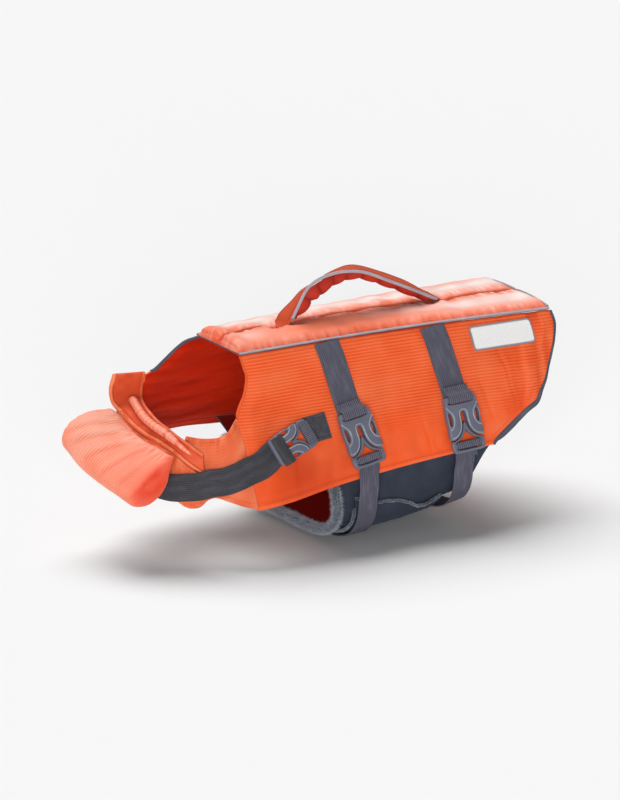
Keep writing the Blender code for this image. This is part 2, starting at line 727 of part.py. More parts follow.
def build_belly_front_binding(belly):
    """Fleece along the belly panel's front edge, between the side panels' hems."""
    outer, inner, within = edge(belly, row=0)
    below = [i for i, p in enumerate(outer)
             if p.z < read(SIDES[LEFT if p.y < 0 else RIGHT][1], p.x) - FLEECE_RADIUS - 1.5]
    first, last = below[0], below[-1] + 1
    build_fleece_edge("belly_front_binding", outer[first:last], inner[first:last],
                      within[first:last], FLEECE_RADIUS)


def pad_edges(along):
    length = belly_length(along)
    return read(PAD_LEFT, along) / length, 1 - read(PAD_RIGHT, along) / length


def build_belly_pad():
    alongs = [mix(PAD_LEFT[0][0], PAD_LEFT[-1][0], t) for t in steps(8)]

    def arounds(along):
        left, right = pad_edges(along)
        return [mix(left, right, t) for t in steps(26)]

    outer = belly_grid(alongs, arounds, PAD_REST + PAD_WALL)
    inner = belly_grid(alongs, arounds, PAD_REST)
    wall("belly_pad", outer, inner, "slate_neoprene")
    pad = (outer, inner)
    build_fleece_edge("belly_pad_binding_left", *edge(pad, column=0), PAD_BINDING_RADIUS)
    build_fleece_edge("belly_pad_binding_right", *edge(pad, column=-1), PAD_BINDING_RADIUS)
    front = [points[1:-1] for points in edge(pad, row=0)]
    build_fleece_edge("belly_pad_binding_front", *front, PAD_BINDING_RADIUS)


# ---------------------------------------------------------------- webbing

def ribbon(name, centres, outs, width, thickness, finish):
    """Flat webbing along a line; outs point away from what it lies on."""
    rings = []
    for point, (_, side, lift) in zip(centres, frames(centres, outs)):
        rings.append([point + side * width / 2, point + side * width / 2 + lift * thickness,
                      point - side * width / 2 + lift * thickness, point - side * width / 2])
    ring_loft(name, rings, finish)


# Belly belts: X at the piping, X and Z at the buckle's top and bottom, X at the hem, X under the belly
BELTS = {
    "strap_front": (84.0, 88.2, -58.2, 96.0, -106.4, 94.0, 97.0),
    "strap_rear": (191.5, 196.0, -58.2, 198.6, -106.0, 196.5, 197.0),
}
BELT_REST = LAY_GAP + 0.3
BUCKLE_REST = BELT_REST + WEBBING_WALL + 0.25


class Seat:
    """Where a buckle lies: across (rearward), along (from its fold to its plug), and out."""

    def __init__(self, first, last, out, size=1.0):
        self.along = (last - first).normalized()
        self.out = (out - self.along * out.dot(self.along)).normalized()
        self.across = self.out.cross(self.along).normalized()
        self.first = first
        self.size = size

    def point(self, across, along, out):
        return (self.first + (self.across * across + self.along * along + self.out * out) * self.size)


# Outlines of the buckle's two pieces, left half, X across and Y from the fold to the plug
SOCKET_HALF = ((0, 0.2), (13.9, 0.2), (15.8, 1.6), (16.2, 9.5), (16.9, 14), (17.2, 19), (16.9, 25),
               (16.4, 28.5), (17.2, 33), (17.2, 38.6), (14.4, 39.2), (10.2, 37.6), (6.2, 34), (3.7, 29),
               (2.9, 24), (2.7, 17), (1.9, 14.8), (0, 14.0))
SOCKET_BAR_SLOT = ((-13.2, 4.6), (13.2, 4.6), (13.2, 7.4), (-13.2, 7.4))
SOCKET_SIDE_WINDOW = ((15.4, 13.2), (15.9, 19), (15.3, 26.2), (13.6, 26.6), (11.9, 23.5), (11.5, 19),
                      (12.8, 15))
PLUG_HALF = ((0, 24.6), (1.5, 25.4), (2.4, 30), (5.2, 34.9), (9.6, 38.6), (14.2, 40.4), (17.0, 40.0),
             (16.2, 49.6), (14.6, 51.6), (0, 51.6))
PLUG_TRIANGLE = ((0, 30.2), (1.7, 34), (5.0, 37.9), (9.6, 40.4), (12.9, 41.6), (12.9, 43.0), (-12.9, 43.0),
                 (-12.9, 41.6), (-9.6, 40.4), (-5.0, 37.9), (-1.7, 34))
PLUG_BAR_SLOT = ((-12.9, 46.0), (12.9, 46.0), (12.9, 49.2), (-12.9, 49.2))
SOCKET_THICKNESS = 6.0
PLUG_THICKNESS = 4.2
PLUG_RISE = 0.7


def whole(half):
    """Both sides of an outline whose half starts and ends on the middle line."""
    return list(half) + [(-x, y) for x, y in half[-2:0:-1]]


def plate(name, outline, holes, seat, out, thickness, finish):
    """A flat moulding: an outline with holes, in a seat's directions."""
    curve = bpy.data.curves.new(name, "CURVE")
    curve.dimensions = "2D"
    curve.fill_mode = "BOTH"
    curve.extrude = thickness / 2
    for loop in [outline] + list(holes):
        spline = curve.splines.new("POLY")
        spline.points.add(len(loop) - 1)
        for point, (x, y) in zip(spline.points, loop):
            point.co = (x, y, 0, 1)
        spline.use_cyclic_u = True
    drawn = bpy.data.objects.new(name + "_outline", curve)
    bpy.context.scene.collection.objects.link(drawn)
    bpy.context.view_layer.update()
    seen = drawn.evaluated_get(bpy.context.evaluated_depsgraph_get())
    mesh = bpy.data.meshes.new_from_object(seen)
    bpy.data.objects.remove(drawn)
    body = bmesh.new()
    body.from_mesh(mesh)
    bmesh.ops.remove_doubles(body, verts=body.verts, dist=0.001)
    bmesh.ops.recalc_face_normals(body, faces=body.faces)
    points = [seat.point(v.co.x, v.co.y, out + thickness / 2 + v.co.z) for v in body.verts]
    faces = [tuple(v.index for v in face.verts) for face in body.faces]
    body.free()
    bpy.data.meshes.remove(mesh)
    return solid(name, points, faces, finish)


def mirrored(loop):
    return [(-x, y) for x, y in loop]


def build_buckle(name, seat, rest):
    plate(name + "_socket", whole(SOCKET_HALF),
          (SOCKET_BAR_SLOT, SOCKET_SIDE_WINDOW, mirrored(SOCKET_SIDE_WINDOW)), seat, rest,
          SOCKET_THICKNESS, "buckle_plastic")
    plate(name + "_plug", whole(PLUG_HALF), (PLUG_TRIANGLE, PLUG_BAR_SLOT), seat, rest + PLUG_RISE,
          PLUG_THICKNESS, "buckle_plastic")


def fold_over(name, seat, rest, width, finish):
    """The webbing's folded end over the socket's bar: it drops into the slot behind the bar."""
    top = rest + SOCKET_THICKNESS + 0.4
    line = [(-9, WEBBING_WALL + BELT_REST + 0.4), (-4.5, WEBBING_WALL + BELT_REST + 1.0), (-1.6, top - 3.0),
            (-0.7, top), (4.9, top), (5.7, top - 1.2), (5.9, rest + 1.0)]
    centres = [seat.point(0, b, c) for b, c in line]
    turned = []
    for i in range(len(line)):
        ahead = centres[min(i + 1, len(line) - 1)] - centres[max(i - 1, 0)]
        turned.append(ahead.cross(seat.across))
    ribbon(name, centres, turned, width, 1.0, finish)


def loop_over_bar(name, seat, rest, width, finish):
    """The lower webbing's turn over the plug's bar."""
    top = rest + PLUG_RISE + PLUG_THICKNESS + 0.4
    line = [(42.0, rest + PLUG_RISE + 1.2), (42.1, top - 0.6), (43.2, top), (45.9, top), (47.2, top - 0.6),
            (47.3, rest + PLUG_RISE + 1.2)]
    centres = [seat.point(0, b, c) for b, c in line]
    turned = []
    for i in range(len(line)):
        ahead = centres[min(i + 1, len(line) - 1)] - centres[max(i - 1, 0)]
        turned.append(ahead.cross(seat.across))
    ribbon(name, centres, turned, width, 0.6, finish)


def belt_seat(belt):
    _, top_x, top_z, bottom_x, bottom_z, _, _ = BELTS[belt]
    first = on_side(top_x, top_z, LEFT)
    last = on_side(bottom_x, bottom_z, LEFT)
    middle = on_side((top_x + bottom_x) / 2, (top_z + bottom_z) / 2, LEFT)
    out = on_side((top_x + bottom_x) / 2, (top_z + bottom_z) / 2, LEFT, 1) - middle
    seat = Seat(first, last, out)
    bulge = (middle - first).dot(seat.out)
    seat.first = seat.first + seat.out * bulge
    return seat


def build_belly_belts():
    for belt, (piping_x, top_x, top_z, _, _, _, _) in BELTS.items():
        seat = belt_seat(belt)
        upper = [(mix(piping_x, top_x, t), mix(-2.5, top_z, t)) for t in steps(6)]
        centres = [on_side(x, z, LEFT, BELT_REST) for x, z in upper]
        outs = [on_side(x, z, LEFT, 1) - on_side(x, z, LEFT) for x, z in upper]
        centres += [seat.point(0, 3.2, 0.2)]
        outs += [seat.out]
        ribbon(belt + "_upper", centres, outs, WEBBING_WIDTH, WEBBING_WALL, "belt_webbing")
        fold_over(belt + "_fold", seat, BUCKLE_REST, WEBBING_WIDTH - 0.6, "belt_webbing")
        loop_over_bar(belt + "_bar_loop", seat, BUCKLE_REST, LOWER_WEBBING_WIDTH + 4.6, "belt_webbing")
        build_buckle(belt.replace("strap", "buckle"), seat, BUCKLE_REST)
        build_lower_belt(belt, seat)


def build_lower_belt(belt, seat):
    """From behind the plug over the hem, under the belly and up the right side."""
    piping_x, _, _, _, _, hem_x, under_x = BELTS[belt]
    lift = PAD_REST + PAD_WALL + 1.6
    route = [(seat.point(0, 46.0, 1.2), seat.out), (seat.point(0, 52, 1.2), seat.out)]
    below = on_side(hem_x, read(LEFT_HEM, hem_x) + 0.5, LEFT, 1.6)
    route.append((below, Vector((0, LEFT, 0.25)).normalized()))
    first, last = 0.105, 0.885
    around_belly = []
    for around in [mix(first, last, t) for t in steps(20)]:
        x = mix(under_x, hem_x, abs(2 * around - 1) ** 3)
        along = belly_place(x, around)
        point = belly_point(along, around, lift)
        around_belly.append((point, point - belly_point(along, around)))
    start, end = around_belly[0][0], around_belly[-1][0]
    route.append((below.lerp(start, 0.5) + Vector((0, -1.2, 0)), Vector((0, LEFT, 0.12)).normalized()))
    route += around_belly
    right_hem = read(RIGHT_HEM, hem_x)
    over = on_side(hem_x, right_hem + 1, RIGHT, 1.6)
    route.append((end.lerp(over, 0.5) + Vector((0, 1.0, 0)), Vector((0, RIGHT, 0.05))))
    route.append((over, Vector((0, RIGHT, 0.25)).normalized()))
    for t in [mix(0.12, 1, s) for s in steps(7)]:
        x, z = mix(hem_x, piping_x, t), mix(right_hem, -2.5, t)
        route.append((on_side(x, z, RIGHT, BELT_REST), on_side(x, z, RIGHT, 1) - on_side(x, z, RIGHT)))
    ribbon(belt + "_lower", [p for p, _ in route], [o for _, o in route], LOWER_WEBBING_WIDTH,
           WEBBING_WALL, "belt_webbing")


# ---------------------------------------------------------------- handle

HANDLE_PIPING_RADIUS = 1.3
SLEEVE_GAP = 0.8
# How far the grip rolls about its near edge: place along the handle, degrees
HANDLE_ROLL = ((0.0, 0), (0.06, 0), (0.15, -18), (0.27, -30), (0.38, -18), (0.52, 4), (0.78, 11),
               (0.93, 4), (1.0, 0))
# Depth of the padded sleeve under the webbing: place along the handle, depth
HANDLE_SLEEVE = ((0.07, 6.0), (0.12, 10.0), (0.24, 12.0), (0.36, 9.5), (0.5, 7.2), (0.7, 6.4),
                 (0.86, 6.2), (0.92, 3.5))


def handle_frames(places):
    """Points along the handle with their side and outward directions."""
    line = flat_path(HANDLE_PATH)
    made = []
    for t in places:
        ahead = (line(clamp(t + 0.01)) - line(clamp(t - 0.01))).normalized()
        roll = math.radians(read(HANDLE_ROLL, t))
        above = Vector((-ahead.z, 0, ahead.x))
        side = Vector((0, math.cos(roll), 0)) + above * math.sin(roll)
        lift = ahead.cross(side)
        near_edge = line(t) - Vector((0, HANDLE_WIDTH / 2, 0))
        made.append((near_edge + side * HANDLE_WIDTH / 2, side,
                     lift if lift.dot(above) > 0 else -lift))
    return made


def build_handle():
    axes = handle_frames(steps(30))
    rings = []
    for point, side, lift in axes:
        half = side * HANDLE_WIDTH / 2
        rings.append([point + half, point + half + lift * HANDLE_WALL,
                      point - half + lift * HANDLE_WALL, point - half])
    ring_loft("handle_webbing", rings, "coral_nylon")
    reach = HANDLE_WIDTH / 2 + HANDLE_PIPING_RADIUS + SEAM_GAP
    near_edge = [p + lift * HANDLE_WALL / 2 - side * reach for p, side, lift in axes][2:-2]
    tube("handle_piping", near_edge, HANDLE_PIPING_RADIUS, HANDLE_PIPING_RADIUS, (0, 0, 1),
         "grey_binding", sides=6)
    build_handle_sleeve()


def build_handle_sleeve():
    count = 3 * SLEEVE_SCALLOPS
    first, last = HANDLE_SLEEVE[0][0], HANDLE_SLEEVE[-1][0]
    places = [mix(first, last, t) for t in steps(count)]
    half = HANDLE_WIDTH / 2 - 0.6
    rings = []
    for i, (t, (point, side, lift)) in enumerate(zip(places, handle_frames(places))):
        depth = read(HANDLE_SLEEVE, t) * (1 + 0.10 * abs(math.sin(math.pi * i / 3)))
        ring = []
        for across, down in ((1, 0), (1.0, 0.45), (0.75, 0.88), (0.25, 1), (-0.25, 1),
                             (-0.75, 0.88), (-1.0, 0.45), (-1, 0)):
            ring.append(point + side * across * half - lift * (SLEEVE_GAP + down * depth))
        rings.append(ring)
    ring_loft("handle_sleeve", rings, "coral_nylon")


# ---------------------------------------------------------------- label

LABEL_X = (227.0, 290.5)
LABEL_Z = (-5.6, -25.0)
LABEL_WALL = 0.9


def build_label():
    columns = steps(9)
    rows = steps(3)
    outer, inner = [], []
    for u in columns:
        inset = 2.2 if u in (0, 1) else 0
        x = mix(*LABEL_X, u)
        zs = [mix(LABEL_Z[0] - inset, LABEL_Z[1] + inset, v) for v in rows]
        outer.append([on_side(x, z, LEFT, LAY_GAP + LABEL_WALL) for z in zs])
        inner.append([on_side(x, z, LEFT, LAY_GAP) for z in zs])
    wall("label_patch", outer, inner, "label_white")


# ---------------------------------------------------------------- neck belt

NECK_BUCKLE_SIZE = 0.82
NECK_BUCKLE = ((3.5, -83.5), (43.0, -69.6))      # X, Z of its fold end and of its plug end
NECK_BELT_WALL = 2.2
NECK_BELT_REST = 1.1
NECK_BELT_OVER_CHEST = 2.2
# Where the belt runs across the chest panel (place from its left end, place down it),
# and across the left chest flap (place from its rear, place down it)
BELT_ON_CHEST = ((0.93, 0.55), (0.84, 0.6), (0.76, 0.64), (0.66, 0.68), (0.56, 0.71), (0.46, 0.73),
                 (0.36, 0.75), (0.27, 0.77), (0.18, 0.76), (0.1, 0.66), (0.03, 0.53))
BELT_ON_FLAP = ((0.5, 0.75), (0.36, 0.71), (0.18, 0.63), (0.03, 0.59))
BELT_ON_SIDE = ((-10.0, -92.2), (-2.5, -88.2))
PATCH_FROM, PATCH_TO = 45.5, 76.5                # along the seat, in the buckle's own scale


def on_grid(grid, u, v):
    """A point on a grid's face and the direction out of the hollow there."""
    def at(a, b):
        i, j = clamp(a) * (len(grid) - 1), clamp(b) * (len(grid[0]) - 1)
        k, m = min(int(i), len(grid) - 2), min(int(j), len(grid[0]) - 2)
        near = grid[k][m].lerp(grid[k][m + 1], j - m)
        return near.lerp(grid[k + 1][m].lerp(grid[k + 1][m + 1], j - m), i - k)

    point = at(u, v)
    along = at(u + 0.02, v) - at(u - 0.02, v)
    across = at(u, v + 0.1) - at(u, v - 0.1)
    out = along.cross(across).normalized()
    if out.dot(point - body_middle(point)) < 0:
        out = -out
    return point, out


def neck_seat():
    (first_x, first_z), (last_x, last_z) = NECK_BUCKLE
    first, last = on_side(first_x, first_z, LEFT), on_side(last_x, last_z, LEFT)
    out = on_side(first_x, first_z, LEFT, 1) - first
    return Seat(first, last, out, NECK_BUCKLE_SIZE)


def build_neck_belt(chest, flap):
    seat = neck_seat()
    scale = 1 / NECK_BUCKLE_SIZE
    rest = (NECK_BELT_REST + NECK_BELT_WALL + 0.9) * scale
    build_buckle("buckle_neck", seat, rest)
    loop_over_bar("neck_belt_bar_loop", seat, rest, LOWER_WEBBING_WIDTH, "dark_webbing")

    places = [on_grid(chest, u, v) for u, v in BELT_ON_CHEST]
    places += [on_grid(flap, u, v) for u, v in BELT_ON_FLAP]
    places += [(on_side(x, z, LEFT), on_side(x, z, LEFT, 1) - on_side(x, z, LEFT))
               for x, z in BELT_ON_SIDE]
    lifts = [NECK_BELT_OVER_CHEST] * len(BELT_ON_CHEST) + [NECK_BELT_REST] * 6
    route = path([point + out * lift for (point, out), lift in zip(places, lifts)]
                 + [seat.point(0, b, NECK_BELT_REST * scale) for b in (4, 14)])
    outs = path([out for _, out in places] + [seat.out, seat.out])
    samples = steps(36)
    ribbon("neck_belt", [route(t) for t in samples], [outs(t).normalized() for t in samples],
           WEBBING_WIDTH, NECK_BELT_WALL, "dark_webbing")
    build_neck_roll(seat, rest)
    build_neck_patch(seat)


def build_neck_roll(seat, rest):
    """The belt's end folded back on itself over the buckle's fold end."""
    top = rest + SOCKET_THICKNESS + 0.5
    profile = ((3.2, top), (2.4, top + 2.2), (4.2, top + 4.6), (8.5, top + 5.8), (14, top + 5.6),
               (18.4, top + 4.2), (19.6, top + 2.0), (18.2, top))
    half = WEBBING_WIDTH / 2 / NECK_BUCKLE_SIZE
    rings = [[seat.point(across * half, b, c) for b, c in profile] for across in (-1, 1)]
    ring_loft("neck_belt_roll", rings, "dark_webbing")


def build_neck_patch(seat):
    outer, inner = [], []
    for along in [mix(PATCH_FROM, PATCH_TO, t) for t in steps(5)]:
        rows = []
        for across in [mix(-1, 1, t) for t in steps(4)]:
            point = seat.point(across * LOWER_WEBBING_WIDTH * 0.58 / NECK_BUCKLE_SIZE, along, 0)
            rows.append((point.x, point.z))
        outer.append([on_side(x, z, LEFT, LAY_GAP + WEBBING_WALL) for x, z in rows])
        inner.append([on_side(x, z, LEFT, LAY_GAP) for x, z in rows])
    wall("neck_belt_patch", outer, inner, "dark_webbing")


# ---------------------------------------------------------------- remaining bindings

def build_bindings(right):
    face, back, within = edge(right, row=0)
    build_edge_binding("neck_binding_right", face[:5], back[:5], within[:5], 1.6)
    build_edge_binding("tail_binding_right", *edge(right, row=-1), TAIL_BINDING)


# ---------------------------------------------------------------- start

def clear_scene():
    for found in list(bpy.data.objects):
        bpy.data.objects.remove(found, do_unlink=True)
    for name in ("dog_life_jacket",):
        group = bpy.data.collections.get(name) or bpy.data.collections.new(name)
        if group.name not in bpy.context.scene.collection.children:
            bpy.context.scene.collection.children.link(group)


def main():
    clear_scene()
    build_back_panel()
    left = build_side_panel(LEFT, "side_panel_left")
    right = build_side_panel(RIGHT, "side_panel_right")
    build_pipings()
    flap, _ = build_chest_flap(left)
    face, back, within = edge(left, row=0)
    build_edge_binding("neck_binding_left", face[:5], back[:5], within[:5], 1.6)
    build_edge_binding("tail_binding_left", *edge(left, row=-1), TAIL_BINDING)
    build_collar_strip()
    build_throat_roll()
    chest, _ = build_chest_panel(right)
    build_chin_float()
    build_belly_front_binding(build_belly_panel())
    build_belly_pad()
    build_belly_belts()
    build_handle()
    build_label()
    build_neck_belt(chest, flap)
    build_bindings(right)


main()
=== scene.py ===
"""Looks of the dog life jacket: ribbed cloth, wrinkles, webbing, buckles and stitching.

Lengths are millimetres in the garment's own frame, as the part is drawn: X runs from the neck
edge of the back (0) to the tail edge, Y is negative on the dog's left, and Z is up.
"""
import functools
import math

import bmesh
import bpy
import numpy as np
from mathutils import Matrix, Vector


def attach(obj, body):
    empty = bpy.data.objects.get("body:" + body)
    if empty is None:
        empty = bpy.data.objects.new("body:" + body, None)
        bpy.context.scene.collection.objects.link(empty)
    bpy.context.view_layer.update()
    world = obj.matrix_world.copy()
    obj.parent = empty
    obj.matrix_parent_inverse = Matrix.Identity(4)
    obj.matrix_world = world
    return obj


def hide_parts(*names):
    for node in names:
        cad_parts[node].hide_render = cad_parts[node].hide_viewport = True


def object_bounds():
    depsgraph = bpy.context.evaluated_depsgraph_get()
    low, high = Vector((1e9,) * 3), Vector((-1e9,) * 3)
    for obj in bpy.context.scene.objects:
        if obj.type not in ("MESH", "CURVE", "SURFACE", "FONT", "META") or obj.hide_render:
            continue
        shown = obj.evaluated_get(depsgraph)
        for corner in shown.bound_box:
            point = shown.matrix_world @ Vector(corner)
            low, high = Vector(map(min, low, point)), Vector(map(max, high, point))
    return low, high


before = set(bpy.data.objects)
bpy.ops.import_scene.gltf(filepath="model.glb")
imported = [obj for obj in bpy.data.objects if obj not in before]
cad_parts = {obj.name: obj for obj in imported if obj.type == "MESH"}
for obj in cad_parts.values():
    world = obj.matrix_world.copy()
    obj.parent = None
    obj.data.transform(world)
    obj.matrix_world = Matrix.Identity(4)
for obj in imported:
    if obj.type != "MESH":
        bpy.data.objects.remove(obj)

CAD_BOX = [[float(c) for c in corner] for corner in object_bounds()]

METRES = 0.001
LEFT, RIGHT = -1, 1
UP = (0, 0, 1)
ORIGIN_X, ORIGIN_Z = 157.0, 4.0          # the row frame's origin, in garment millimetres
# Points in the jacket's hollow that the faces near them are turned away from
BACK_MIDDLE, SIDE_MIDDLE, BELLY_MIDDLE = (157, 0, -60), (150, 0, -50), (150, 0, -120)
FLAP_MIDDLE, CHEST_MIDDLE, SEAM_MIDDLE = (-20, 0, -90), (-30, 0, -90), (-30, 0, -80)
PATCH_MIDDLE = (40, 0, -60)

# Seams and rests
SEAM_GAP = 0.3
LAY_GAP = 0.5            # between a panel and what lies on it
# Back float panel
BACK_LENGTH = 314.0
BACK_HALF_FRONT = 36.8
BACK_HALF_REAR = 56.0
PIPING_RADIUS = 1.6
PIPING_RISE = 2.3
GROOVE_WALL = 4.0
EDGE_WALL = 2.2
# Side panels
UPPER_FLARE = math.radians(28.5)
FLARE_BEND_DEPTH = 60.0
FLARE_BEND_SOFTNESS = 14.0
SIDE_SEAM_WALL = 2.6
SIDE_FOAM_WALL = 7.4
SIDE_PUFF = 2.2
SEAM_PULL = 13.0         # how far in from a seam the foam reaches its full height
TURN_IN_X, TURN_IN_RUN = -15, 32         # ahead of this X the sides turn in under the throat
# Webbing
WEBBING_WIDTH = 25.0
LOWER_WEBBING_WIDTH = 20.0
WEBBING_WALL = 1.5
# Handle
HANDLE_WIDTH = 21.0
HANDLE_WALL = 2.0
SLEEVE_SCALLOPS = 9
# Belly
BELLY_WALL = 2.4
BELLY_SQUARENESS = 4.0   # exponent of the belly's boxy U section
PAD_WALL = 5.0
FLEECE_RADIUS = 4.2
# Along the back: X and the height of its middle groove, X and the channels' rise above that
GROOVE = ((-2, 2.6), (20, 5.2), (41, 6.7), (86, 7.5), (135, 8.4), (196, 7.0), (237, 5.2),
          (276, 5.0), (314, 2.8))
CHANNEL_RISE = ((-2, 6.6), (20, 6.4), (53, 5.2), (98, 4.8), (147, 3.6), (249, 3.6), (314, 3.2))
# How far the sides lean out below their bend: X, degrees
LOWER_FLARE = ((-20, 22), (0, 24), (50, 25), (84, 25), (192, 20.5), (228, 19), (314, 15))
# Outlines of the side panels, seen from the side: X, Z
LEFT_NECK = ((-1.8, -2.2), (-1.4, -10), (-0.5, -18), (-3.3, -25.5), (-8, -34), (-14.8, -42.5),
             (-19.5, -50), (-19.3, -66), (-18.3, -81), (-17.6, -105), (-17.5, -128.5))
LEFT_HEM = ((-17.5, -128.5), (16.6, -124.4), (52, -118.3), (83, -114.2), (104, -112.3), (145, -109),
            (185, -106.6), (218, -105.2), (228, -104.6))
TAIL = ((314.5, -2.2), (316, -12), (312, -23), (304.6, -36.4), (295.4, -52), (285.9, -64.7),
        (279.8, -72.6))
LEFT_TAIL = TAIL + ((269.3, -78), (235, -98), (228, -104.6))
RIGHT_NECK = ((-1.8, -2.2), (-16, -5.5), (-28, -15.5), (-32.5, -21.5), (-41, -30), (-49, -33),
              (-51, -44), (-49.5, -62), (-45, -84), (-40, -102))
RIGHT_HEM = ((-40, -102), (7, -101), (49, -105.2), (100, -110.5), (145, -110), (203, -108.5),
             (228, -106))
RIGHT_TAIL = TAIL + ((269.3, -79), (235, -99), (228, -106))
# Creases pressed into the side foam, seen from the side:
# X, Z of the middle, half length, half width, degrees from level, depth (negative stands proud)
LEFT_FOLDS = ((296, -38, 34, 5, 96, 1.5), (281, -52, 30, 6, 98, -1.3), (262, -62, 34, 6, 95, 1.2),
              (243, -74, 26, 6, 84, -1.1), (226, -58, 30, 7, 88, 0.9), (150, -96, 15, 7, 70, 1.5),
              (176, -92, 14, 6, 62, -1.0), (60, -104, 16, 7, 72, 1.6), (34, -108, 18, 6, 66, -1.0),
              (12, -60, 30, 8, 35, 1.2), (4, -38, 16, 5, 24, -1.0), (128, -60, 32, 9, 86, 1.0),
              (120, -84, 22, 6, 80, -0.8), (-8, -100, 24, 5, 82, 1.3))
RIGHT_FOLDS = ((290, -42, 32, 6, 96, 1.4), (268, -58, 34, 6, 94, 1.3), (236, -70, 26, 7, 86, 1.0),
               (152, -92, 18, 7, 72, 1.4), (58, -96, 18, 7, 68, 1.5), (18, -52, 30, 8, 30, 1.2),
               (-20, -38, 18, 6, 14, 1.2), (-12, -64, 26, 6, 10, 1.0))


def clamp(value, low=0.0, high=1.0):
    return max(low, min(high, value))


def mix(a, b, t):
    return a + (b - a) * t


def ease(t):
    t = clamp(t)
    return t * t * (3 - 2 * t)


def on_curve(at, values, s):
    """The value at s on a smooth curve through values that stand at rising places."""
    last = len(at) - 1
    k = next((i for i in range(last - 1) if s <= at[i + 1]), last - 1)
    before, after = max(k - 1, 0), min(k + 2, last)
    slope0 = (values[k + 1] - values[before]) / (at[k + 1] - at[before])
    slope1 = (values[after] - values[k]) / (at[after] - at[k])
    h = at[k + 1] - at[k]
    q = (s - at[k]) / h
    return (values[k] * (2 * q ** 3 - 3 * q ** 2 + 1) + slope0 * h * (q ** 3 - 2 * q ** 2 + q)
            + values[k + 1] * (3 * q ** 2 - 2 * q ** 3) + slope1 * h * (q ** 3 - q ** 2))


def read(table, x, column=1):
    """Reads a table's column at x, along a smooth curve through its rows."""
    at, values = [row[0] for row in table], [row[column] for row in table]
    return on_curve(at, values, clamp(x, at[0], at[-1]))


def path(points):
    """Returns the function of 0 to 1 that runs along a smooth curve through the points."""
    points = [Vector(p) for p in points]
    at = [0.0]
    for a, b in zip(points, points[1:]):
        at.append(at[-1] + (b - a).length)
    return lambda t: on_curve(at, points, clamp(t) * at[-1])


def two_paths(rows):
    """The paths through the first and through the second X, Y, Z of each row."""
    return path([row[:3] for row in rows]), path([row[3:] for row in rows])


def flat_path(rows):
    """A path through X, Z rows, in the plane Y = 0."""
    return path([(x, 0, z) for x, z in rows])


def patch(top, hem, front, rear):
    """A Coons patch: u runs front to rear, v runs top to hem."""
    a, b, c, d = top(0), top(1), hem(0), hem(1)

    def at(u, v):
        rails = top(u) * (1 - v) + hem(u) * v + front(v) * (1 - u) + rear(v) * u
        return rails - (a * (1 - u) * (1 - v) + b * u * (1 - v) + c * (1 - u) * v + d * u * v)

    return at


def steps(count):
    return [i / count for i in range(count + 1)]


def stretch(first, last, count):
    """Even places from the first to the last."""
    return [mix(first, last, t) for t in steps(count)]


def crossing(short_of, passes):
    """Two places between which a test turns from true to false, by halving from 0 to 1."""
    low, high = 0.0, 1.0
    for _ in range(passes):
        middle = (low + high) / 2
        low, high = (middle, high) if short_of(middle) else (low, middle)
    return low, high


def back_half(x):
    return mix(BACK_HALF_FRONT, BACK_HALF_REAR, x / BACK_LENGTH)


def piping_height(x):
    return PIPING_RISE * math.sin(math.pi * clamp(x / BACK_LENGTH))


def side_reach(x, z, side):
    """Distance of the plain side from the centre plane, where the seams hold it."""
    depth = max(piping_height(x) - z, 0)
    upper = math.tan(UPPER_FLARE)
    lower = math.tan(math.radians(read(LOWER_FLARE, x)))

    def ramp(d):
        return (d + math.hypot(d, FLARE_BEND_SOFTNESS)) / 2

    bend = ramp(depth - FLARE_BEND_DEPTH) - ramp(-FLARE_BEND_DEPTH)
    reach = back_half(x) + upper * depth + (lower - upper) * bend
    ahead = max(TURN_IN_X - x, 0) / TURN_IN_RUN
    turn_in = (0.21 * depth - 2) * (1 if side == LEFT else 0.35)
    return reach - ahead ** 2 * max(turn_in, 0)


def outline_x(rows, z):
    """X of a side outline at height z."""
    return read(tuple((row_z, row_x) for row_x, row_z in reversed(rows)), z)


SIDES = {
    # side: neck edge, hem, tail edge, folds
    LEFT: (LEFT_NECK, LEFT_HEM, LEFT_TAIL, LEFT_FOLDS),
    RIGHT: (RIGHT_NECK, RIGHT_HEM, RIGHT_TAIL, RIGHT_FOLDS),
}


def seam_factor(x, z, side):
    """0 at the side panel's seams, 1 where its foam is full."""
    neck, hem, tail, _ = SIDES[side]
    inside = min(piping_height(x) - 2 - z, z - read(hem, x),
                 x - outline_x(neck, z), (outline_x(tail, z) - x) * 0.8)
    return ease(inside / SEAM_PULL)


def fold_depth(x, z, folds):
    total = 0
    for fold_x, fold_z, half_length, half_width, degrees, depth in folds:
        turn = math.radians(degrees)
        along = (x - fold_x) * math.cos(turn) + (z - fold_z) * math.sin(turn)
        across = (z - fold_z) * math.cos(turn) - (x - fold_x) * math.sin(turn)
        reach = (along / half_length) ** 2 + (across / half_width) ** 2
        total += depth * math.exp(-1.6 * reach)
    return total


def side_outer(x, z, side):
    """Distance of the side panel's outer face from the centre plane."""
    full = seam_factor(x, z, side)
    return side_reach(x, z, side) + full * (SIDE_PUFF - fold_depth(x, z, SIDES[side][3]))


def side_inner(x, z, side):
    full = seam_factor(x, z, side)
    return side_reach(x, z, side) - mix(SIDE_SEAM_WALL, SIDE_FOAM_WALL - SIDE_PUFF, full)


def on_side(x, z, side, lift=0.0):
    """A point on the side panel's outer face, or lifted off it."""
    point = Vector((x, side * side_outer(x, z, side), z))
    if not lift:
        return point
    nudge = 1.5              # how far each way the slope is measured
    slope_x = (side_outer(x + nudge, z, side) - side_outer(x - nudge, z, side)) / (2 * nudge)
    slope_z = (side_outer(x, z + nudge, side) - side_outer(x, z - nudge, side)) / (2 * nudge)
    return point + Vector((-slope_x, side, -slope_z)).normalized() * lift


def off_side(x, z, side):
    """The direction off the side panel's outer face."""
    return on_side(x, z, side, 1) - on_side(x, z, side)


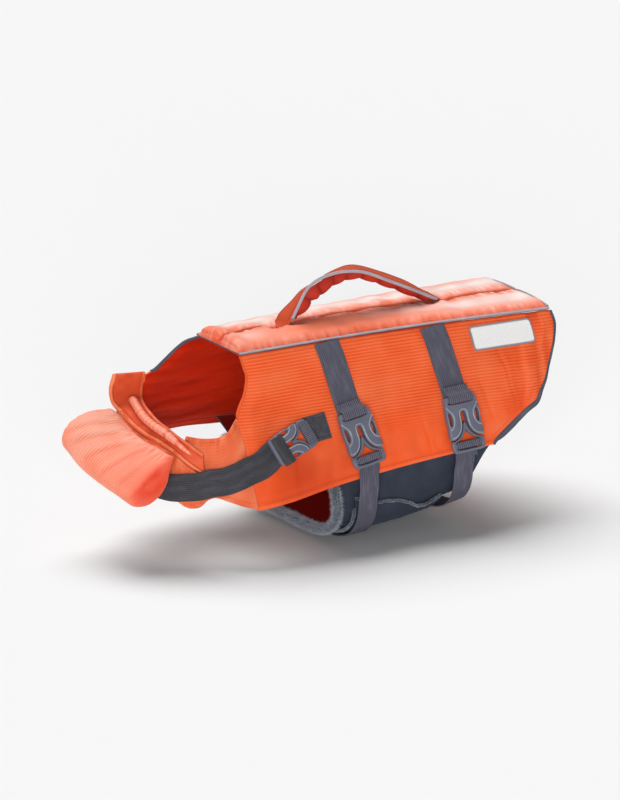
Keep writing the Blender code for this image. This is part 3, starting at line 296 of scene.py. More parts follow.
def back_across(x, y):
    """0 on the back's middle line, 1 at its piping."""
    return clamp(abs(y) / (back_half(x) - PIPING_RADIUS - SEAM_GAP))


def back_top(x, y):
    """Height of the back panel's upper face: two channels beside a groove."""
    across = back_across(x, y)
    groove = read(GROOVE, x)
    edge = piping_height(x) + 0.6
    plain = mix(groove, edge, across ** 2.2)
    rise = read(CHANNEL_RISE, x)
    ends = ease((x + 2) / 6) * ease((BACK_LENGTH - x) / 8)
    swell = math.sin(math.pi * across ** 0.72) ** 0.75
    ripple = 0.5 * math.sin(x * 0.21 + (2 if y > 0 else 0)) * swell
    held = max(ease(1.9 - abs(x - foot) / 11) for foot in HANDLE_FEET) * ease(2.2 - abs(y) / 9)
    return plain + mix(0.35, 1, ends) * (rise * swell + ripple) * (1 - 0.92 * held)


def back_under(x, y):
    edge = piping_height(x) - EDGE_WALL + 0.6
    return mix(read(GROOVE, x) - GROOVE_WALL, edge, back_across(x, y) ** 2)


# The handle's centre line: X, Z of the webbing's underside
HANDLE_PATH = ((59.5, 8.9), (62.6, 9.5), (66.5, 11.5), (75.6, 25.5), (85, 39.8), (95.8, 46.5),
               (109.4, 49.7), (122.8, 50.6), (143, 47.6), (170.2, 35.6), (197, 22.8), (219, 11.8),
               (226, 9.6), (233.3, 8.7))
HANDLE_FEET = (HANDLE_PATH[1][0], HANDLE_PATH[-2][0])


def side_grid(side, across, down):
    """The side panel's X, Z places as a grid from the piping to the hem."""
    neck, hem, tail, _ = SIDES[side]
    top = path([(x, 0, piping_height(x) - PIPING_RADIUS - SEAM_GAP)
                for x in (neck[0][0], 40, 110, 200, 270, tail[0][0])])
    at = patch(top, flat_path(hem), flat_path(neck), flat_path(tail))
    return [[at(u, v) for v in steps(down)] for u in steps(across)]


# Width of the tail bindings: Z, width
TAIL_BINDING = ((-104, 2.6), (-94, 6.0), (-76, 5.2), (-66, 4.0), (-52, 2.8), (-2, 2.4))
# Outline of the left chest flap, from the side panel's front crease round to the chest: X, Y, Z
FLAP_TOP = ((-21.2, -63.2, -51), (-27, -66, -56), (-33, -67, -61.5), (-40, -64, -65.5),
            (-46, -57, -67.5), (-51, -47, -69), (-56, -33, -69.5))
FLAP_HEM = ((-18.6, -95.2, -128.6), (-30.5, -89.5, -124), (-40.7, -80, -120),
            (-47.6, -70.5, -118.4), (-51.3, -62.5, -122), (-55.5, -55, -130),
            (-62.5, -47, -131.5), (-69.5, -42.5, -126))
FLAP_FRONT = ((-56, -33, -69.5), (-63.5, -36, -85), (-67.5, -39, -103), (-69.5, -42.5, -126))
FLAP_WALL = 2.2


def body_middle(point):
    """A point inside the hollow of the jacket, level with the given one."""
    return Vector((min(max(point.x, -45), 330), 0, min(point.z, -20)))


# The neck cradle, from the tip of its right flap down under the throat to its left end.
# Each row: rear edge X, Y, Z, then front edge X, Y, Z
CRADLE = ((-50.6, 47.5, -32.0, -82.6, 47.5, -28.6), (-51.2, 50.5, -43.0, -86.0, 48.0, -42.0),
          (-54.4, 46.5, -52.0, -85.6, 45.5, -52.5), (-59.5, 34.0, -55.0, -83.5, 36.0, -58.5),
          (-63.5, 16.0, -58.5, -81.0, 18.0, -67.5), (-65.5, 0.0, -61.5, -79.0, 0.0, -72.0),
          (-65.5, -20.0, -64.5, -77.0, -22.0, -74.4), (-64.5, -38.0, -68.5, -74.0, -42.0, -78.5),
          (-60.5, -49.5, -73.5, -65.5, -54.0, -88.5), (-53.6, -57.5, -80.0, -54.8, -63.0, -98.0))
CRADLE_WALL = 3.6
THROAT_ROLL_ACROSS = 0.42        # where the roll lies across the cradle
THROAT_ROLL_HALF_WIDTH = 4.4
THROAT_ROLL_HALF_HEIGHT = 3.2
THROAT_GATHERS = 14
# The chest panel under the cradle, from its free left end round to the right side panel.
# Each row: top X, Y, Z, then hem X, Y, Z
CHEST = ((-55.0, -63.4, -100.6, -55.0, -66.5, -116.0), (-65.0, -55.5, -92.5, -64.0, -58.5, -117.5),
         (-74.5, -44.0, -82.8, -73.5, -47.0, -119.0), (-79.5, -23.0, -78.6, -82.0, -25.5, -120.0),
         (-81.0, 0.0, -76.6, -85.0, 0.0, -119.0), (-82.8, 19.0, -72.2, -84.0, 24.0, -117.0),
         (-84.2, 36.5, -63.2, -79.0, 46.0, -113.5), (-78.5, 50.0, -58.2, -67.0, 64.0, -109.0),
         (-65.5, 57.0, -57.6, -54.5, 73.5, -105.0))
CHEST_WALL = 3.0
# The chin float: its seam along the chest panel's top edge, from left to right: X, Y, Z
CHIN_SEAM = ((-76.8, -50.5, -80.2), (-78.4, -42.0, -81.2), (-80.6, -23.0, -78.4),
             (-82.2, 0.0, -76.2), (-84.0, 18.5, -71.6), (-85.6, 36.0, -62.4),
             (-86.4, 46.5, -58.2))
CHIN_LENGTH = 98.0           # along the seam
# Its section ahead of the seam at the left and at the right end: X, Z, X, Z
CHIN_SECTION = ((0, 0, 0, 0), (-10, -4.3, -10, 1.8), (-22, -12.0, -23, 2.6), (-32, -20.0, -36, 0.2),
                (-39.5, -27.2, -48, -5.2), (-43.5, -34, -55, -13.5), (-41, -39.7, -55.8, -22),
                (-33, -42.7, -48.5, -29), (-24, -41.7, -37, -32), (-14.5, -36.5, -22, -31.8),
                (-8, -27.5, -11.5, -26.5), (-5, -16.5, -6, -17), (-1.6, -6.5, -1.6, -7))
# Its rounded ends: place from an end, size, distance drawn in
CHIN_ENDS = ((0.0, 0.56, 1.2), (0.012, 0.82, 0.5), (0.035, 0.95, 0.1), (0.07, 1.0, 0.0))
# The belly panel from its front edge to its rear edge:
# place along it (0 to 1), X at the left hem, X at the right hem, X at the bottom, Z of the bottom
BELLY = ((0.0, 66, 45, 76, -174), (0.25, 108, 93, 108, -172.5), (0.5, 151, 141, 141, -170),
         (0.75, 194, 189, 174, -165), (1.0, 237, 237, 206, -158))
BELLY_TUCK = 8.0             # how far the panel reaches up inside the side panels' hems
BELLY_CLEARANCE = 1.6
# The pad's free edges: place along the belly, distance down from the panel's top edge
PAD_LEFT = ((0.09, 30), (0.25, 39), (0.4, 43), (0.55, 53), (0.67, 63), (0.79, 55))
PAD_RIGHT = ((0.09, 26), (0.45, 34), (0.79, 30))
PAD_BINDING_RADIUS = 2.5
PAD_REST = 1.0               # between the panel and the pad


@functools.lru_cache(maxsize=None)
def belly_section(along):
    """The panel's outer line at one place along it, from the left hem to the right hem."""
    left_x, right_x, bottom_x, bottom = (read(BELLY, along, column) for column in (1, 2, 3, 4))
    points = []
    count, power = 48, 2 / BELLY_SQUARENESS
    for k in range(count + 1):
        turn = math.pi * k / count
        side, hem_x = (LEFT, left_x) if k * 2 <= count else (RIGHT, right_x)
        top = read(SIDES[side][1], hem_x) + BELLY_TUCK
        reach = side_inner(hem_x, top, side) - BELLY_CLEARANCE
        down = math.sin(turn) ** power if 0 < k < count else 0
        out = abs(math.cos(turn)) ** power
        x = mix(hem_x, bottom_x, 1 - (1 - down) ** 2)
        points.append((x, side * reach * out, mix(top, bottom, down)))
    return path(points)


def belly_place(x, around):
    """The place along the belly panel where a line around it crosses X."""
    return sum(crossing(lambda along: belly_section(along)(around).x < x, 12)) / 2


@functools.lru_cache(maxsize=None)
def belly_length(along):
    points = [belly_section(along)(t) for t in steps(60)]
    return sum((b - a).length for a, b in zip(points, points[1:]))


def belly_point(along, around, lift=0.0):
    """A point of the panel's outer face, or one lifted off it; around runs left to right."""
    line = belly_section(along)
    point = line(around)
    if not lift:
        return point
    before, after = (belly_section(clamp(along + nudge))(around) for nudge in (-0.02, 0.02))
    sideways = line(around + 0.004) - line(around - 0.004)
    out = sideways.cross(after - before).normalized()
    if out.dot(point - Vector((point.x, 0, -120))) < 0:
        out = -out
    return point + out * lift


def belly_grid(alongs, arounds, lift):
    return np.array([[belly_point(a, w, lift) for w in arounds(a)] for a in alongs])


def pad_edges(along):
    length = belly_length(along)
    return read(PAD_LEFT, along) / length, 1 - read(PAD_RIGHT, along) / length


# Belly belts: X at the piping, X and Z at the buckle's top and bottom, X at the hem,
# X under the belly
BELTS = {
    "strap_front": (84.0, 88.2, -58.2, 96.0, -106.4, 94.0, 97.0),
    "strap_rear": (191.5, 196.0, -58.2, 198.6, -106.0, 196.5, 197.0),
}
BELT_REST = LAY_GAP + 0.3
BUCKLE_REST = BELT_REST + WEBBING_WALL + 0.25


class Seat:
    """Where a buckle lies: across (rearward), along (from its fold to its plug), and out."""

    def __init__(self, first, last, out, size=1.0):
        self.along = (last - first).normalized()
        self.out = (out - self.along * out.dot(self.along)).normalized()
        self.across = self.out.cross(self.along).normalized()
        self.first = first
        self.size = size

    def point(self, across, along, out):
        return self.first + (self.across * across + self.along * along
                             + self.out * out) * self.size


# Outlines of the buckle's two pieces, left half, X across and Y from the fold to the plug
SOCKET_HALF = ((0, 0.2), (13.9, 0.2), (15.8, 1.6), (16.2, 9.5), (16.9, 14), (17.2, 19),
               (16.9, 25), (16.4, 28.5), (17.2, 33), (17.2, 38.6), (14.4, 39.2), (10.2, 37.6),
               (6.2, 34), (3.7, 29), (2.9, 24), (2.7, 17), (1.9, 14.8), (0, 14.0))
SOCKET_BAR_SLOT = ((-13.2, 4.6), (13.2, 4.6), (13.2, 7.4), (-13.2, 7.4))
SOCKET_SIDE_WINDOW = ((15.4, 13.2), (15.9, 19), (15.3, 26.2), (13.6, 26.6), (11.9, 23.5),
                      (11.5, 19), (12.8, 15))
PLUG_HALF = ((0, 24.6), (1.5, 25.4), (2.4, 30), (5.2, 34.9), (9.6, 38.6), (14.2, 40.4),
             (17.0, 40.0), (16.2, 49.6), (14.6, 51.6), (0, 51.6))
PLUG_TRIANGLE = ((0, 30.2), (1.7, 34), (5.0, 37.9), (9.6, 40.4), (12.9, 41.6), (12.9, 43.0),
                 (-12.9, 43.0), (-12.9, 41.6), (-9.6, 40.4), (-5.0, 37.9), (-1.7, 34))
PLUG_BAR_SLOT = ((-12.9, 46.0), (12.9, 46.0), (12.9, 49.2), (-12.9, 49.2))
SOCKET_THICKNESS = 6.0
PLUG_THICKNESS = 4.2
PLUG_RISE = 0.7


def whole(half):
    """Both sides of an outline whose half starts and ends on the middle line."""
    return list(half) + [(-x, y) for x, y in half[-2:0:-1]]


def mirrored(loop):
    return [(-x, y) for x, y in loop]


def belt_seat(belt):
    _, top_x, top_z, bottom_x, bottom_z, _, _ = BELTS[belt]
    first, last = on_side(top_x, top_z, LEFT), on_side(bottom_x, bottom_z, LEFT)
    middle = ((top_x + bottom_x) / 2, (top_z + bottom_z) / 2, LEFT)
    seat = Seat(first, last, off_side(*middle))
    seat.first = first + seat.out * (on_side(*middle) - first).dot(seat.out)
    return seat


HANDLE_PIPING_RADIUS = 1.3
SLEEVE_GAP = 0.8
# How far the grip rolls about its near edge: place along the handle, degrees
HANDLE_ROLL = ((0.0, 0), (0.06, 0), (0.15, -18), (0.27, -30), (0.38, -18), (0.52, 4), (0.78, 11),
               (0.93, 4), (1.0, 0))
# Depth of the padded sleeve under the webbing: place along the handle, depth
HANDLE_SLEEVE = ((0.07, 6.0), (0.12, 10.0), (0.24, 12.0), (0.36, 9.5), (0.5, 7.2), (0.7, 6.4),
                 (0.86, 6.2), (0.92, 3.5))


def handle_frames(places):
    """Points along the handle with their side and outward directions."""
    line = flat_path(HANDLE_PATH)
    made = []
    for t in places:
        ahead = (line(t + 0.01) - line(t - 0.01)).normalized()
        roll = math.radians(read(HANDLE_ROLL, t))
        above = Vector((-ahead.z, 0, ahead.x))
        side = Vector((0, math.cos(roll), 0)) + above * math.sin(roll)
        lift = ahead.cross(side)
        near_edge = line(t) - Vector((0, HANDLE_WIDTH / 2, 0))
        made.append((near_edge + side * HANDLE_WIDTH / 2, side,
                     lift if lift.dot(above) > 0 else -lift))
    return made


LABEL_X = (227.0, 290.5)
LABEL_Z = (-5.6, -25.0)
LABEL_WALL = 0.9
NECK_BUCKLE_SIZE = 0.82
NECK_BUCKLE = ((3.5, -83.5), (43.0, -69.6))      # X, Z of its fold end and of its plug end
NECK_BELT_WALL = 2.2
NECK_BELT_REST = 1.1
NECK_BELT_OVER_CHEST = 2.2
# Where the belt runs across the chest panel (place from its left end, place down it),
# and across the left chest flap (place from its rear, place down it)
BELT_ON_CHEST = ((0.93, 0.55), (0.84, 0.6), (0.76, 0.64), (0.66, 0.68), (0.56, 0.71), (0.46, 0.73),
                 (0.36, 0.75), (0.27, 0.77), (0.18, 0.76), (0.1, 0.66), (0.03, 0.53))
BELT_ON_FLAP = ((0.5, 0.75), (0.36, 0.71), (0.18, 0.63), (0.03, 0.59))
BELT_ON_SIDE = ((-10.0, -92.2), (-2.5, -88.2))
PATCH_FROM, PATCH_TO = 45.5, 76.5                # along the seat, in the buckle's own scale


def on_grid(grid, u, v):
    """A point on a grid's face and the direction out of the hollow there."""
    def at(a, b):
        i, j = clamp(a) * (len(grid) - 1), clamp(b) * (len(grid[0]) - 1)
        k, m = min(int(i), len(grid) - 2), min(int(j), len(grid[0]) - 2)
        near = grid[k][m].lerp(grid[k][m + 1], j - m)
        return near.lerp(grid[k + 1][m].lerp(grid[k + 1][m + 1], j - m), i - k)

    point = at(u, v)
    along = at(u + 0.02, v) - at(u - 0.02, v)
    across = at(u, v + 0.1) - at(u, v - 0.1)
    out = along.cross(across).normalized()
    if out.dot(point - body_middle(point)) < 0:
        out = -out
    return point, out


def neck_seat():
    first, last = (on_side(x, z, LEFT) for x, z in NECK_BUCKLE)
    return Seat(first, last, off_side(*NECK_BUCKLE[0], LEFT), NECK_BUCKLE_SIZE)


# ---------------------------------------------------------------- meshes

def spread(values, count, axis=0):
    """Resamples an array to `count` places along one axis, on a smooth curve."""
    values = np.moveaxis(np.asarray(values, float), axis, 0)
    before = 2 * values[:1] - values[1:2]
    after = 2 * values[-1:] - values[-2:-1]
    padded = np.concatenate([before, values, after])
    at = np.linspace(0, len(values) - 1, count)
    k = np.minimum(at.astype(int), len(values) - 2)
    s = (at - k).reshape([-1] + [1] * (values.ndim - 1))
    p0, p1, p2, p3 = (padded[k + d] for d in range(4))
    made = 0.5 * (2 * p1 + (p2 - p0) * s + (2 * p0 - 5 * p1 + 4 * p2 - p3) * s ** 2
                  + (3 * p1 - p0 - 3 * p2 + p3) * s ** 3)
    return np.moveaxis(made, 0, axis)


def dense(grid, across, down):
    """A grid of points resampled to finer rows and columns."""
    return spread(spread(grid, across, 0), down, 1)


def unit(vectors):
    return vectors / np.maximum(np.linalg.norm(vectors, axis=-1, keepdims=True), 1e-9)


def facing(points, away_from):
    """Unit normals of a grid of points, turned away from a point inside the jacket."""
    made = unit(np.cross(np.gradient(points, axis=0), np.gradient(points, axis=1)))
    return made * np.sign(np.sum(made * (points - away_from), axis=-1).mean())


def raised(points, away_from, lift=0.12):
    """A grid of cloth points lifted along its normals, by one distance or one for each."""
    return points + facing(points, away_from) * np.asarray(lift)[..., None]


def run_lengths(points, axis):
    """Distance along one axis of a grid of points."""
    step = np.linalg.norm(np.diff(points, axis=axis), axis=-1)
    start = np.zeros_like(np.take(step, [0], axis=axis))
    return np.concatenate([start, np.cumsum(step, axis=axis)], axis=axis)


def unrolled(points):
    """Distances along both axes of a grid of points, for its place on the cloth."""
    return np.stack([run_lengths(points, 0), run_lengths(points, 1)], axis=-1)


def grain(a, b, seed):
    """Smooth noise between -1 and 1 over two arrays of places."""
    table = np.random.default_rng(seed).uniform(-1, 1, (64, 64))
    a, b = np.broadcast_arrays(np.asarray(a, float), np.asarray(b, float))
    i, j = np.floor(a).astype(int), np.floor(b).astype(int)
    s, t = a - i, b - j
    s, t = s * s * (3 - 2 * s), t * t * (3 - 2 * t)
    corner = [[table[(i + k) % 64, (j + m) % 64] for m in (0, 1)] for k in (0, 1)]
    return mix(mix(corner[0][0], corner[1][0], s), mix(corner[0][1], corner[1][1], s), t)


def pressed(values, middle, reach):
    """A narrow line at one place: 1 on it, 0 beyond its reach."""
    return np.exp(-((values - middle) / reach) ** 2)


def fade(values, start, end):
    """0 at start, 1 at end, smoothly between, over an array."""
    t = np.clip((values - start) / (end - start), 0, 1)
    return t * t * (3 - 2 * t)


def added(name, data):
    """A new object in the scene."""
    made = bpy.data.objects.new(name, data)
    bpy.context.scene.collection.objects.link(made)
    return made


def in_frame(points):
    """Garment points in the shared frame's metres."""
    return ((np.asarray(points, float) - (ORIGIN_X, 0, ORIGIN_Z)) * METRES).tolist()


def piece(name, points, faces, corner_uvs, finishes, finish_of=None, tone=None):
    """Adds one closed mesh of garment points; UVs are millimetres, one pair per face corner.
    The tone of a point is 0 where the cloth is plain; above 0 it is painted deeper, mostly as shade
    and on the label as its printed edge, and below 0 it is painted pale, mostly as a highlight."""
    mesh = bpy.data.meshes.new(name)
    mesh.from_pydata(in_frame(points), [], [list(face) for face in faces])
    mesh.uv_layers.new(name="cloth").data.foreach_set(
        "uv", np.asarray(corner_uvs, np.float32).ravel())
    if tone is not None:
        mesh.attributes.new("tone", "FLOAT", "POINT").data.foreach_set(
            "value", np.asarray(tone, np.float32).ravel())
    for finish in finishes:
        mesh.materials.append(finish)
    if finish_of is not None:
        mesh.polygons.foreach_set("material_index", np.asarray(finish_of, np.int32))
    built = bmesh.new()
    built.from_mesh(mesh)
    if built.calc_volume(signed=True) < 0:
        bmesh.ops.reverse_faces(built, faces=built.faces)
    built.to_mesh(mesh)
    built.free()
    mesh.shade_smooth()
    mesh.set_sharp_from_angle(angle=math.radians(62))
    return added(name, mesh)


def quads(index):
    """Faces of a grid of point indices."""
    return np.stack([index[:-1, :-1], index[:-1, 1:], index[1:, 1:], index[1:, :-1]],
                    axis=-1).reshape(-1, 4)


def rim_line(rows, columns):
    """The places round the border of a grid, in order."""
    line = [(0, j) for j in range(columns)] + [(i, columns - 1) for i in range(1, rows)]
    line += [(rows - 1, j) for j in range(columns - 2, -1, -1)]
    return line + [(i, 0) for i in range(rows - 2, 0, -1)]


def shell(name, outer, inner, uv, finish, lining=None, tone=0.0, tone_inside=0.0):
    """A closed cloth wall between two arrays of points, with rounded edges."""
    rows, columns = outer.shape[:2]
    border = rim_line(rows, columns)
    i, j = np.array(border).T
    k, m = np.clip(i, 1, rows - 2), np.clip(j, 1, columns - 2)
    edge_out = unit(outer[i, j] - outer[k, m])
    quarter = np.linalg.norm(outer[i, j] - inner[i, j], axis=-1, keepdims=True) / 4
    middle = (outer[i, j] + inner[i, j]) / 2 + edge_out * quarter
    index = np.arange(rows * columns).reshape(rows, columns)
    back = index + rows * columns
    rim_index = 2 * rows * columns + np.arange(len(border))
    front_loop, back_loop = index[i, j], back[i, j]
    parts = [quads(index), quads(back)[:, ::-1]]
    for a, b in ((front_loop, rim_index), (rim_index, back_loop)):
        parts.append(np.stack([a, b, np.roll(b, -1), np.roll(a, -1)], axis=-1))
    faces = np.concatenate(parts)
    points = np.concatenate([outer.reshape(-1, 3), inner.reshape(-1, 3), middle])
    flat = uv.reshape(-1, 2)
    uvs = np.concatenate([flat, flat, uv[i, j]])
    finishes = [finish] + ([lining] if lining else [])
    finish_of = np.zeros(len(faces), int)
    if lining:
        finish_of[len(parts[0]):len(parts[0]) + len(parts[1])] = 1
    outside, inside = (np.broadcast_to(t, (rows, columns)) for t in (tone, tone_inside))
    tones = np.concatenate([outside.ravel(), inside.ravel(), outside[i, j]])
    return piece(name, points, faces, uvs[faces.ravel()], finishes, finish_of, tones)


def loft(name, rings, finish, bulge, uv=None, tone=0.0):
    """A closed body through rings of points, with rounded ends."""
    rings = np.asarray(rings, float)
    stations, count = rings.shape[:2]
    if uv is None:
        along = run_lengths(rings.mean(axis=1)[:, None], 0)[:, 0]
        around = run_lengths(np.concatenate([rings[0], rings[0][:1]])[None], 1)[0]
        uv = np.stack(np.broadcast_arrays(along[:, None], around[None]), axis=-1)
    index = np.arange(stations * count).reshape(stations, count)
    places = np.arange(stations * (count + 1)).reshape(stations, count + 1)
    faces = [list(face) for face in quads(np.concatenate([index, index[:, :1]], axis=1))]
    corner_uvs = [uv.reshape(-1, 2)[quads(places).ravel()]]
    tone = np.broadcast_to(tone, (stations, count))
    tones = [tone.ravel()]
    points = [rings.reshape(-1, 3)]
    base = stations * count
    for end in (0, -1):
        ring, line = index[end], rings[end]
        middle = line.mean(axis=0)
        nearest = np.linalg.norm(line - middle, axis=-1).min()
        ahead = unit(middle - rings[1 if end == 0 else -2].mean(axis=0)) * nearest * bulge
        points += [middle + (line - middle) * 0.82 + ahead, (middle + ahead * 1.3)[None]]
        for k in range(count):
            n = (k + 1) % count
            outside = [ring[k], ring[n], base + n, base + k]
            inside = [base + k, base + n, base + count]
            faces += [outside, inside] if end else [outside[::-1], inside[::-1]]
        corner_uvs.append(np.tile(uv[end, 0], (7 * count, 1)))
        tones.append(np.append(tone[end], tone[end].mean()))
        base += count + 1
    return piece(name, np.concatenate(points), faces, np.concatenate(corner_uvs), [finish],
                 tone=np.concatenate(tones))


def sweep(name, centres, sides, lifts, profile, finish, bulge, tone=0.0):
    """A strip or cord along a line. `profile` holds side and lift offsets, for all stations
    or for each; its points run round the section."""
    centres, sides, lifts = (np.asarray(a, float) for a in (centres, sides, lifts))
    profile = np.asarray(profile, float)
    if profile.ndim == 2:
        profile = np.broadcast_to(profile, (len(centres),) + profile.shape)
    rings = (centres[:, None] + sides[:, None] * profile[..., :1]
             + lifts[:, None] * profile[..., 1:])
    return loft(name, rings, finish, bulge, tone=tone)


def axes(line, ups):
    """Points, side and lift directions along a line, as arrays; ups are hints for the lifts."""
    line, sides, lifts = [Vector(p) for p in line], [], []
    for i, up in enumerate(ups):
        ahead = (line[min(i + 1, len(line) - 1)] - line[max(i - 1, 0)]).normalized()
        sides.append(ahead.cross(Vector(up)).normalized())
        lifts.append(sides[-1].cross(ahead))
    return np.array(line), np.array(sides), np.array(lifts)


def finer(centres, sides, lifts, count):
    """A line and its directions resampled to more places."""
    return spread(centres, count), unit(spread(sides, count)), unit(spread(lifts, count))


def edge_axes(lines, count):
    """A raw edge's outer and inner line, and its directions through the cloth and off it.
    The lines given are the edge's outer and inner points and the next ones inside it."""
    face, back, within = (spread(line, count) for line in lines)
    through = unit(face - back)
    away = unit(np.cross(unit(np.gradient(face, axis=0)), through))
    away = away * np.sign(np.sum(away * (face - within), axis=-1))[:, None]
    return face, back, through, away


def edge_lines(outer, inner, row, step=6):
    """Outer, inner and next points along the first or the last row of a panel."""
    return outer[row], inner[row], outer[step if row == 0 else -1 - step]


def turns(count):
    """Even angles round a circle."""
    return np.linspace(0, 2 * math.pi, count, endpoint=False)


def round_section(half_side, half_up, count):
    turn = turns(count)
    return np.stack([np.cos(turn) * half_side, np.sin(turn) * half_up], axis=-1)


def flat_section(width, wall, ribs, depth=0.12):
    """A webbing section with rounded edges and lengthwise ribs, lying on its line."""
    t = np.linspace(-1, 1, 5 * ribs)
    across = t * (width / 2 - wall * 0.3)
    rib = depth * np.abs(np.sin(math.pi * ribs * (t + 1) / 2)) - depth
    top = np.stack([across, wall + rib], axis=-1)
    bottom = np.stack([across[::-1], -rib[::-1] * 0.5], axis=-1)
    right = np.array([[width / 2, wall * 0.72], [width / 2, wall * 0.28]])
    return np.concatenate([top, right, bottom, right[::-1] * (-1, 1)])


def cut_size(face):
    """Width and length in metres of the flat piece that a face was cut from."""
    return tuple(float(np.take(run_lengths(face, axis), -1, axis=axis).mean()) * METRES
                 for axis in (0, 1))


def finished(made, slot, *nodes, fill=None, flat=None):
    """Hangs one piece on the root body and hides the CAD parts that it stands for."""
    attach(made, "root")
    if nodes:
        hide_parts(*nodes)


# ---------------------------------------------------------------- finishes

def tint(code):
    """The linear colour of a hex code."""
    parts = [int(code[k:k + 2], 16) / 255 for k in (0, 2, 4)]
    return [c / 12.92 if c < 0.04 else ((c + 0.055) / 1.055) ** 2.4 for c in parts] + [1.0]


def add_node(tree, kind, inputs=(), **settings):
    made = tree.nodes.new(kind)
    for key, value in settings.items():
        setattr(made, key, value)
    for key, value in dict(inputs).items():
        value = getattr(value, "socket", value)
        if isinstance(value, bpy.types.NodeSocket):
            tree.links.new(value, made.inputs[key])
        else:
            made.inputs[key].default_value = value
    return made


class Number:
    """A number that a node puts out, for plain arithmetic in a node tree."""

    def __init__(self, socket):
        self.socket = socket

    def through(self, operation, other=0.0, turned=False):
        """The result of one maths node on this number and another."""
        pair = (other, self) if turned else (self, other)
        return Number(add_node(self.socket.id_data, "ShaderNodeMath", dict(enumerate(pair)),
                               operation=operation).outputs[0])

    def __add__(self, other):
        return self.through("ADD", other)

    def __mul__(self, other):
        return self.through("MULTIPLY", other)

    def __truediv__(self, other):
        return self.through("DIVIDE", other)

    def __sub__(self, other):
        return self.through("SUBTRACT", other)

    def __rsub__(self, other):
        return self.through("SUBTRACT", other, turned=True)

    def held(self):
        """The same number, kept between 0 and 1."""
        self.socket.node.use_clamp = True
        return self


def blended(tree, factor, a, b):
    """Colour a turned into colour b by a factor."""
    return add_node(tree, "ShaderNodeMix", {0: factor, 6: a, 7: b}, data_type="RGBA").outputs[2]


def clouds(tree, place, scale, detail=2.0):
    return Number(add_node(tree, "ShaderNodeTexNoise", {"Vector": place, "Scale": scale,
                                                        "Detail": detail}).outputs[0])


def streaks(tree, place, along, across):
    """Clouds with their two directions scaled."""
    scaled = add_node(tree, "ShaderNodeMapping", {"Vector": place, "Scale": (along, across, 1)})
    return clouds(tree, scaled.outputs[0], 1.0, 3.0)


def group(name, colours, numbers):
    """A node group that turns a place, colours and numbers into a colour, a roughness and a
    height; returns its tree, the place, the other inputs and the way to end it."""
    tree = bpy.data.node_groups.new(name, "ShaderNodeTree")
    sockets = [("INPUT", "Place", "Vector")] + [("INPUT", label, "Color") for label in colours]
    sockets += [("INPUT", label, "Float") for label in numbers]
    sockets += [("OUTPUT", "Colour", "Color"), ("OUTPUT", "Roughness", "Float"),
                ("OUTPUT", "Height", "Float")]
    for way, label, kind in sockets:
        tree.interface.new_socket(label, in_out=way, socket_type="NodeSocket" + kind)
    given = tree.nodes.new("NodeGroupInput").outputs
    out = tree.nodes.new("NodeGroupOutput").inputs

    def end(colour, roughness, height):
        for label, found in (("Colour", colour), ("Roughness", roughness.socket),
                             ("Height", height.socket)):
            tree.links.new(found, out[label])
        return tree

    return tree, given["Place"], given, end


def toned(tree, given, colour):
    """Painted shade and highlight: the colour turned deep where a piece's tone is above 0, and
    light where it is below; the label's printed edge uses it too.
    """
    shade, pale = ((Number(given["Tone"]) * way).held() for way in (1.0, -1.0))
    return blended(tree, pale, blended(tree, shade, colour, given["Deep"]), given["Light"])


def crossed(tree, place):
    """The two distances of a place on the cloth."""
    split = add_node(tree, "ShaderNodeSeparateXYZ", {0: place})
    return Number(split.outputs[0]), Number(split.outputs[1])


def waves(distance, pitch):
    """0 in each groove and 1 on each rib, at a pitch."""
    return (distance * math.pi / pitch).through("SINE").through("ABSOLUTE")


def cloth_group():
    """Ribbed or plain cloth: sunk grooves painted in shade, rib crests painted with highlights,
    cloudy wear, a fine weave and small wrinkles; the tone paints further shade and highlight.
    """
    tree, place, given, end = group("ribbed_cloth", ("Colour", "Deep", "Light"),
                                    ("Pitch", "Ribs", "Fade from", "Fade to", "Wear", "Creases",
                                     "Tone"))
    u, v = crossed(tree, place)
    rib = waves(v, given["Pitch"])
    kept = add_node(tree, "ShaderNodeMapRange", {0: v, 1: given["Fade from"], 2: given["Fade to"],
                                                 3: 1.0, 4: 0.0}, interpolation_type="SMOOTHSTEP")
    strength = Number(given["Ribs"]) * kept.outputs[0]
    # Painted shade in the rib grooves and painted highlight on the rib crests.
    groove = ((1.0 - rib).through("POWER", 1.5) * strength).held()
    crest_highlight = (rib.through("POWER", 5.0) * strength).held()
    soft = streaks(tree, place, 0.012, 0.03)
    worn = ((soft - 0.42) * given["Wear"]).held()
    deeper = ((0.62 - clouds(tree, place, 0.9)) * 0.5).held()
    colour = blended(tree, groove, given["Colour"], given["Deep"])
    colour = blended(tree, crest_highlight, colour, given["Light"])
    colour = blended(tree, worn, colour, given["Light"])
    colour = blended(tree, deeper, colour, given["Deep"])
    weave = (u * 9.0).through("SINE") * (v * 9.0).through("SINE")
    height = weave * 0.10 + rib * strength + streaks(tree, place, 0.16, 0.05) * given["Creases"]
    return end(toned(tree, given, colour), soft * 0.16 + 0.56, height)


def webbing_group():
    """Woven webbing: lengthwise ribs crossed by the picks of the weave, with painted shade where
    the weave sinks.
    """
    tree, place, given, end = group("woven_webbing", ("Colour", "Deep", "Light"),
                                    ("Rib", "Pick", "Tone"))
    u, v = crossed(tree, place)
    across = v * math.pi / given["Rib"]
    along = u * math.pi / given["Pick"]
    rib = across.through("SINE").through("ABSOLUTE")
    pick = (along + across).through("SINE").through("ABSOLUTE")
    height = rib * 0.6 + pick * 0.4
    soft = streaks(tree, place, 0.05, 0.2)
    worn = ((soft - 0.45) * 1.2).held()
    # Painted shade where the weave sinks.
    colour = blended(tree, (0.85 - height).held(), given["Colour"], given["Deep"])
    colour = blended(tree, worn, colour, given["Light"])
    return end(toned(tree, given, colour), soft * 0.15 + 0.62, height)


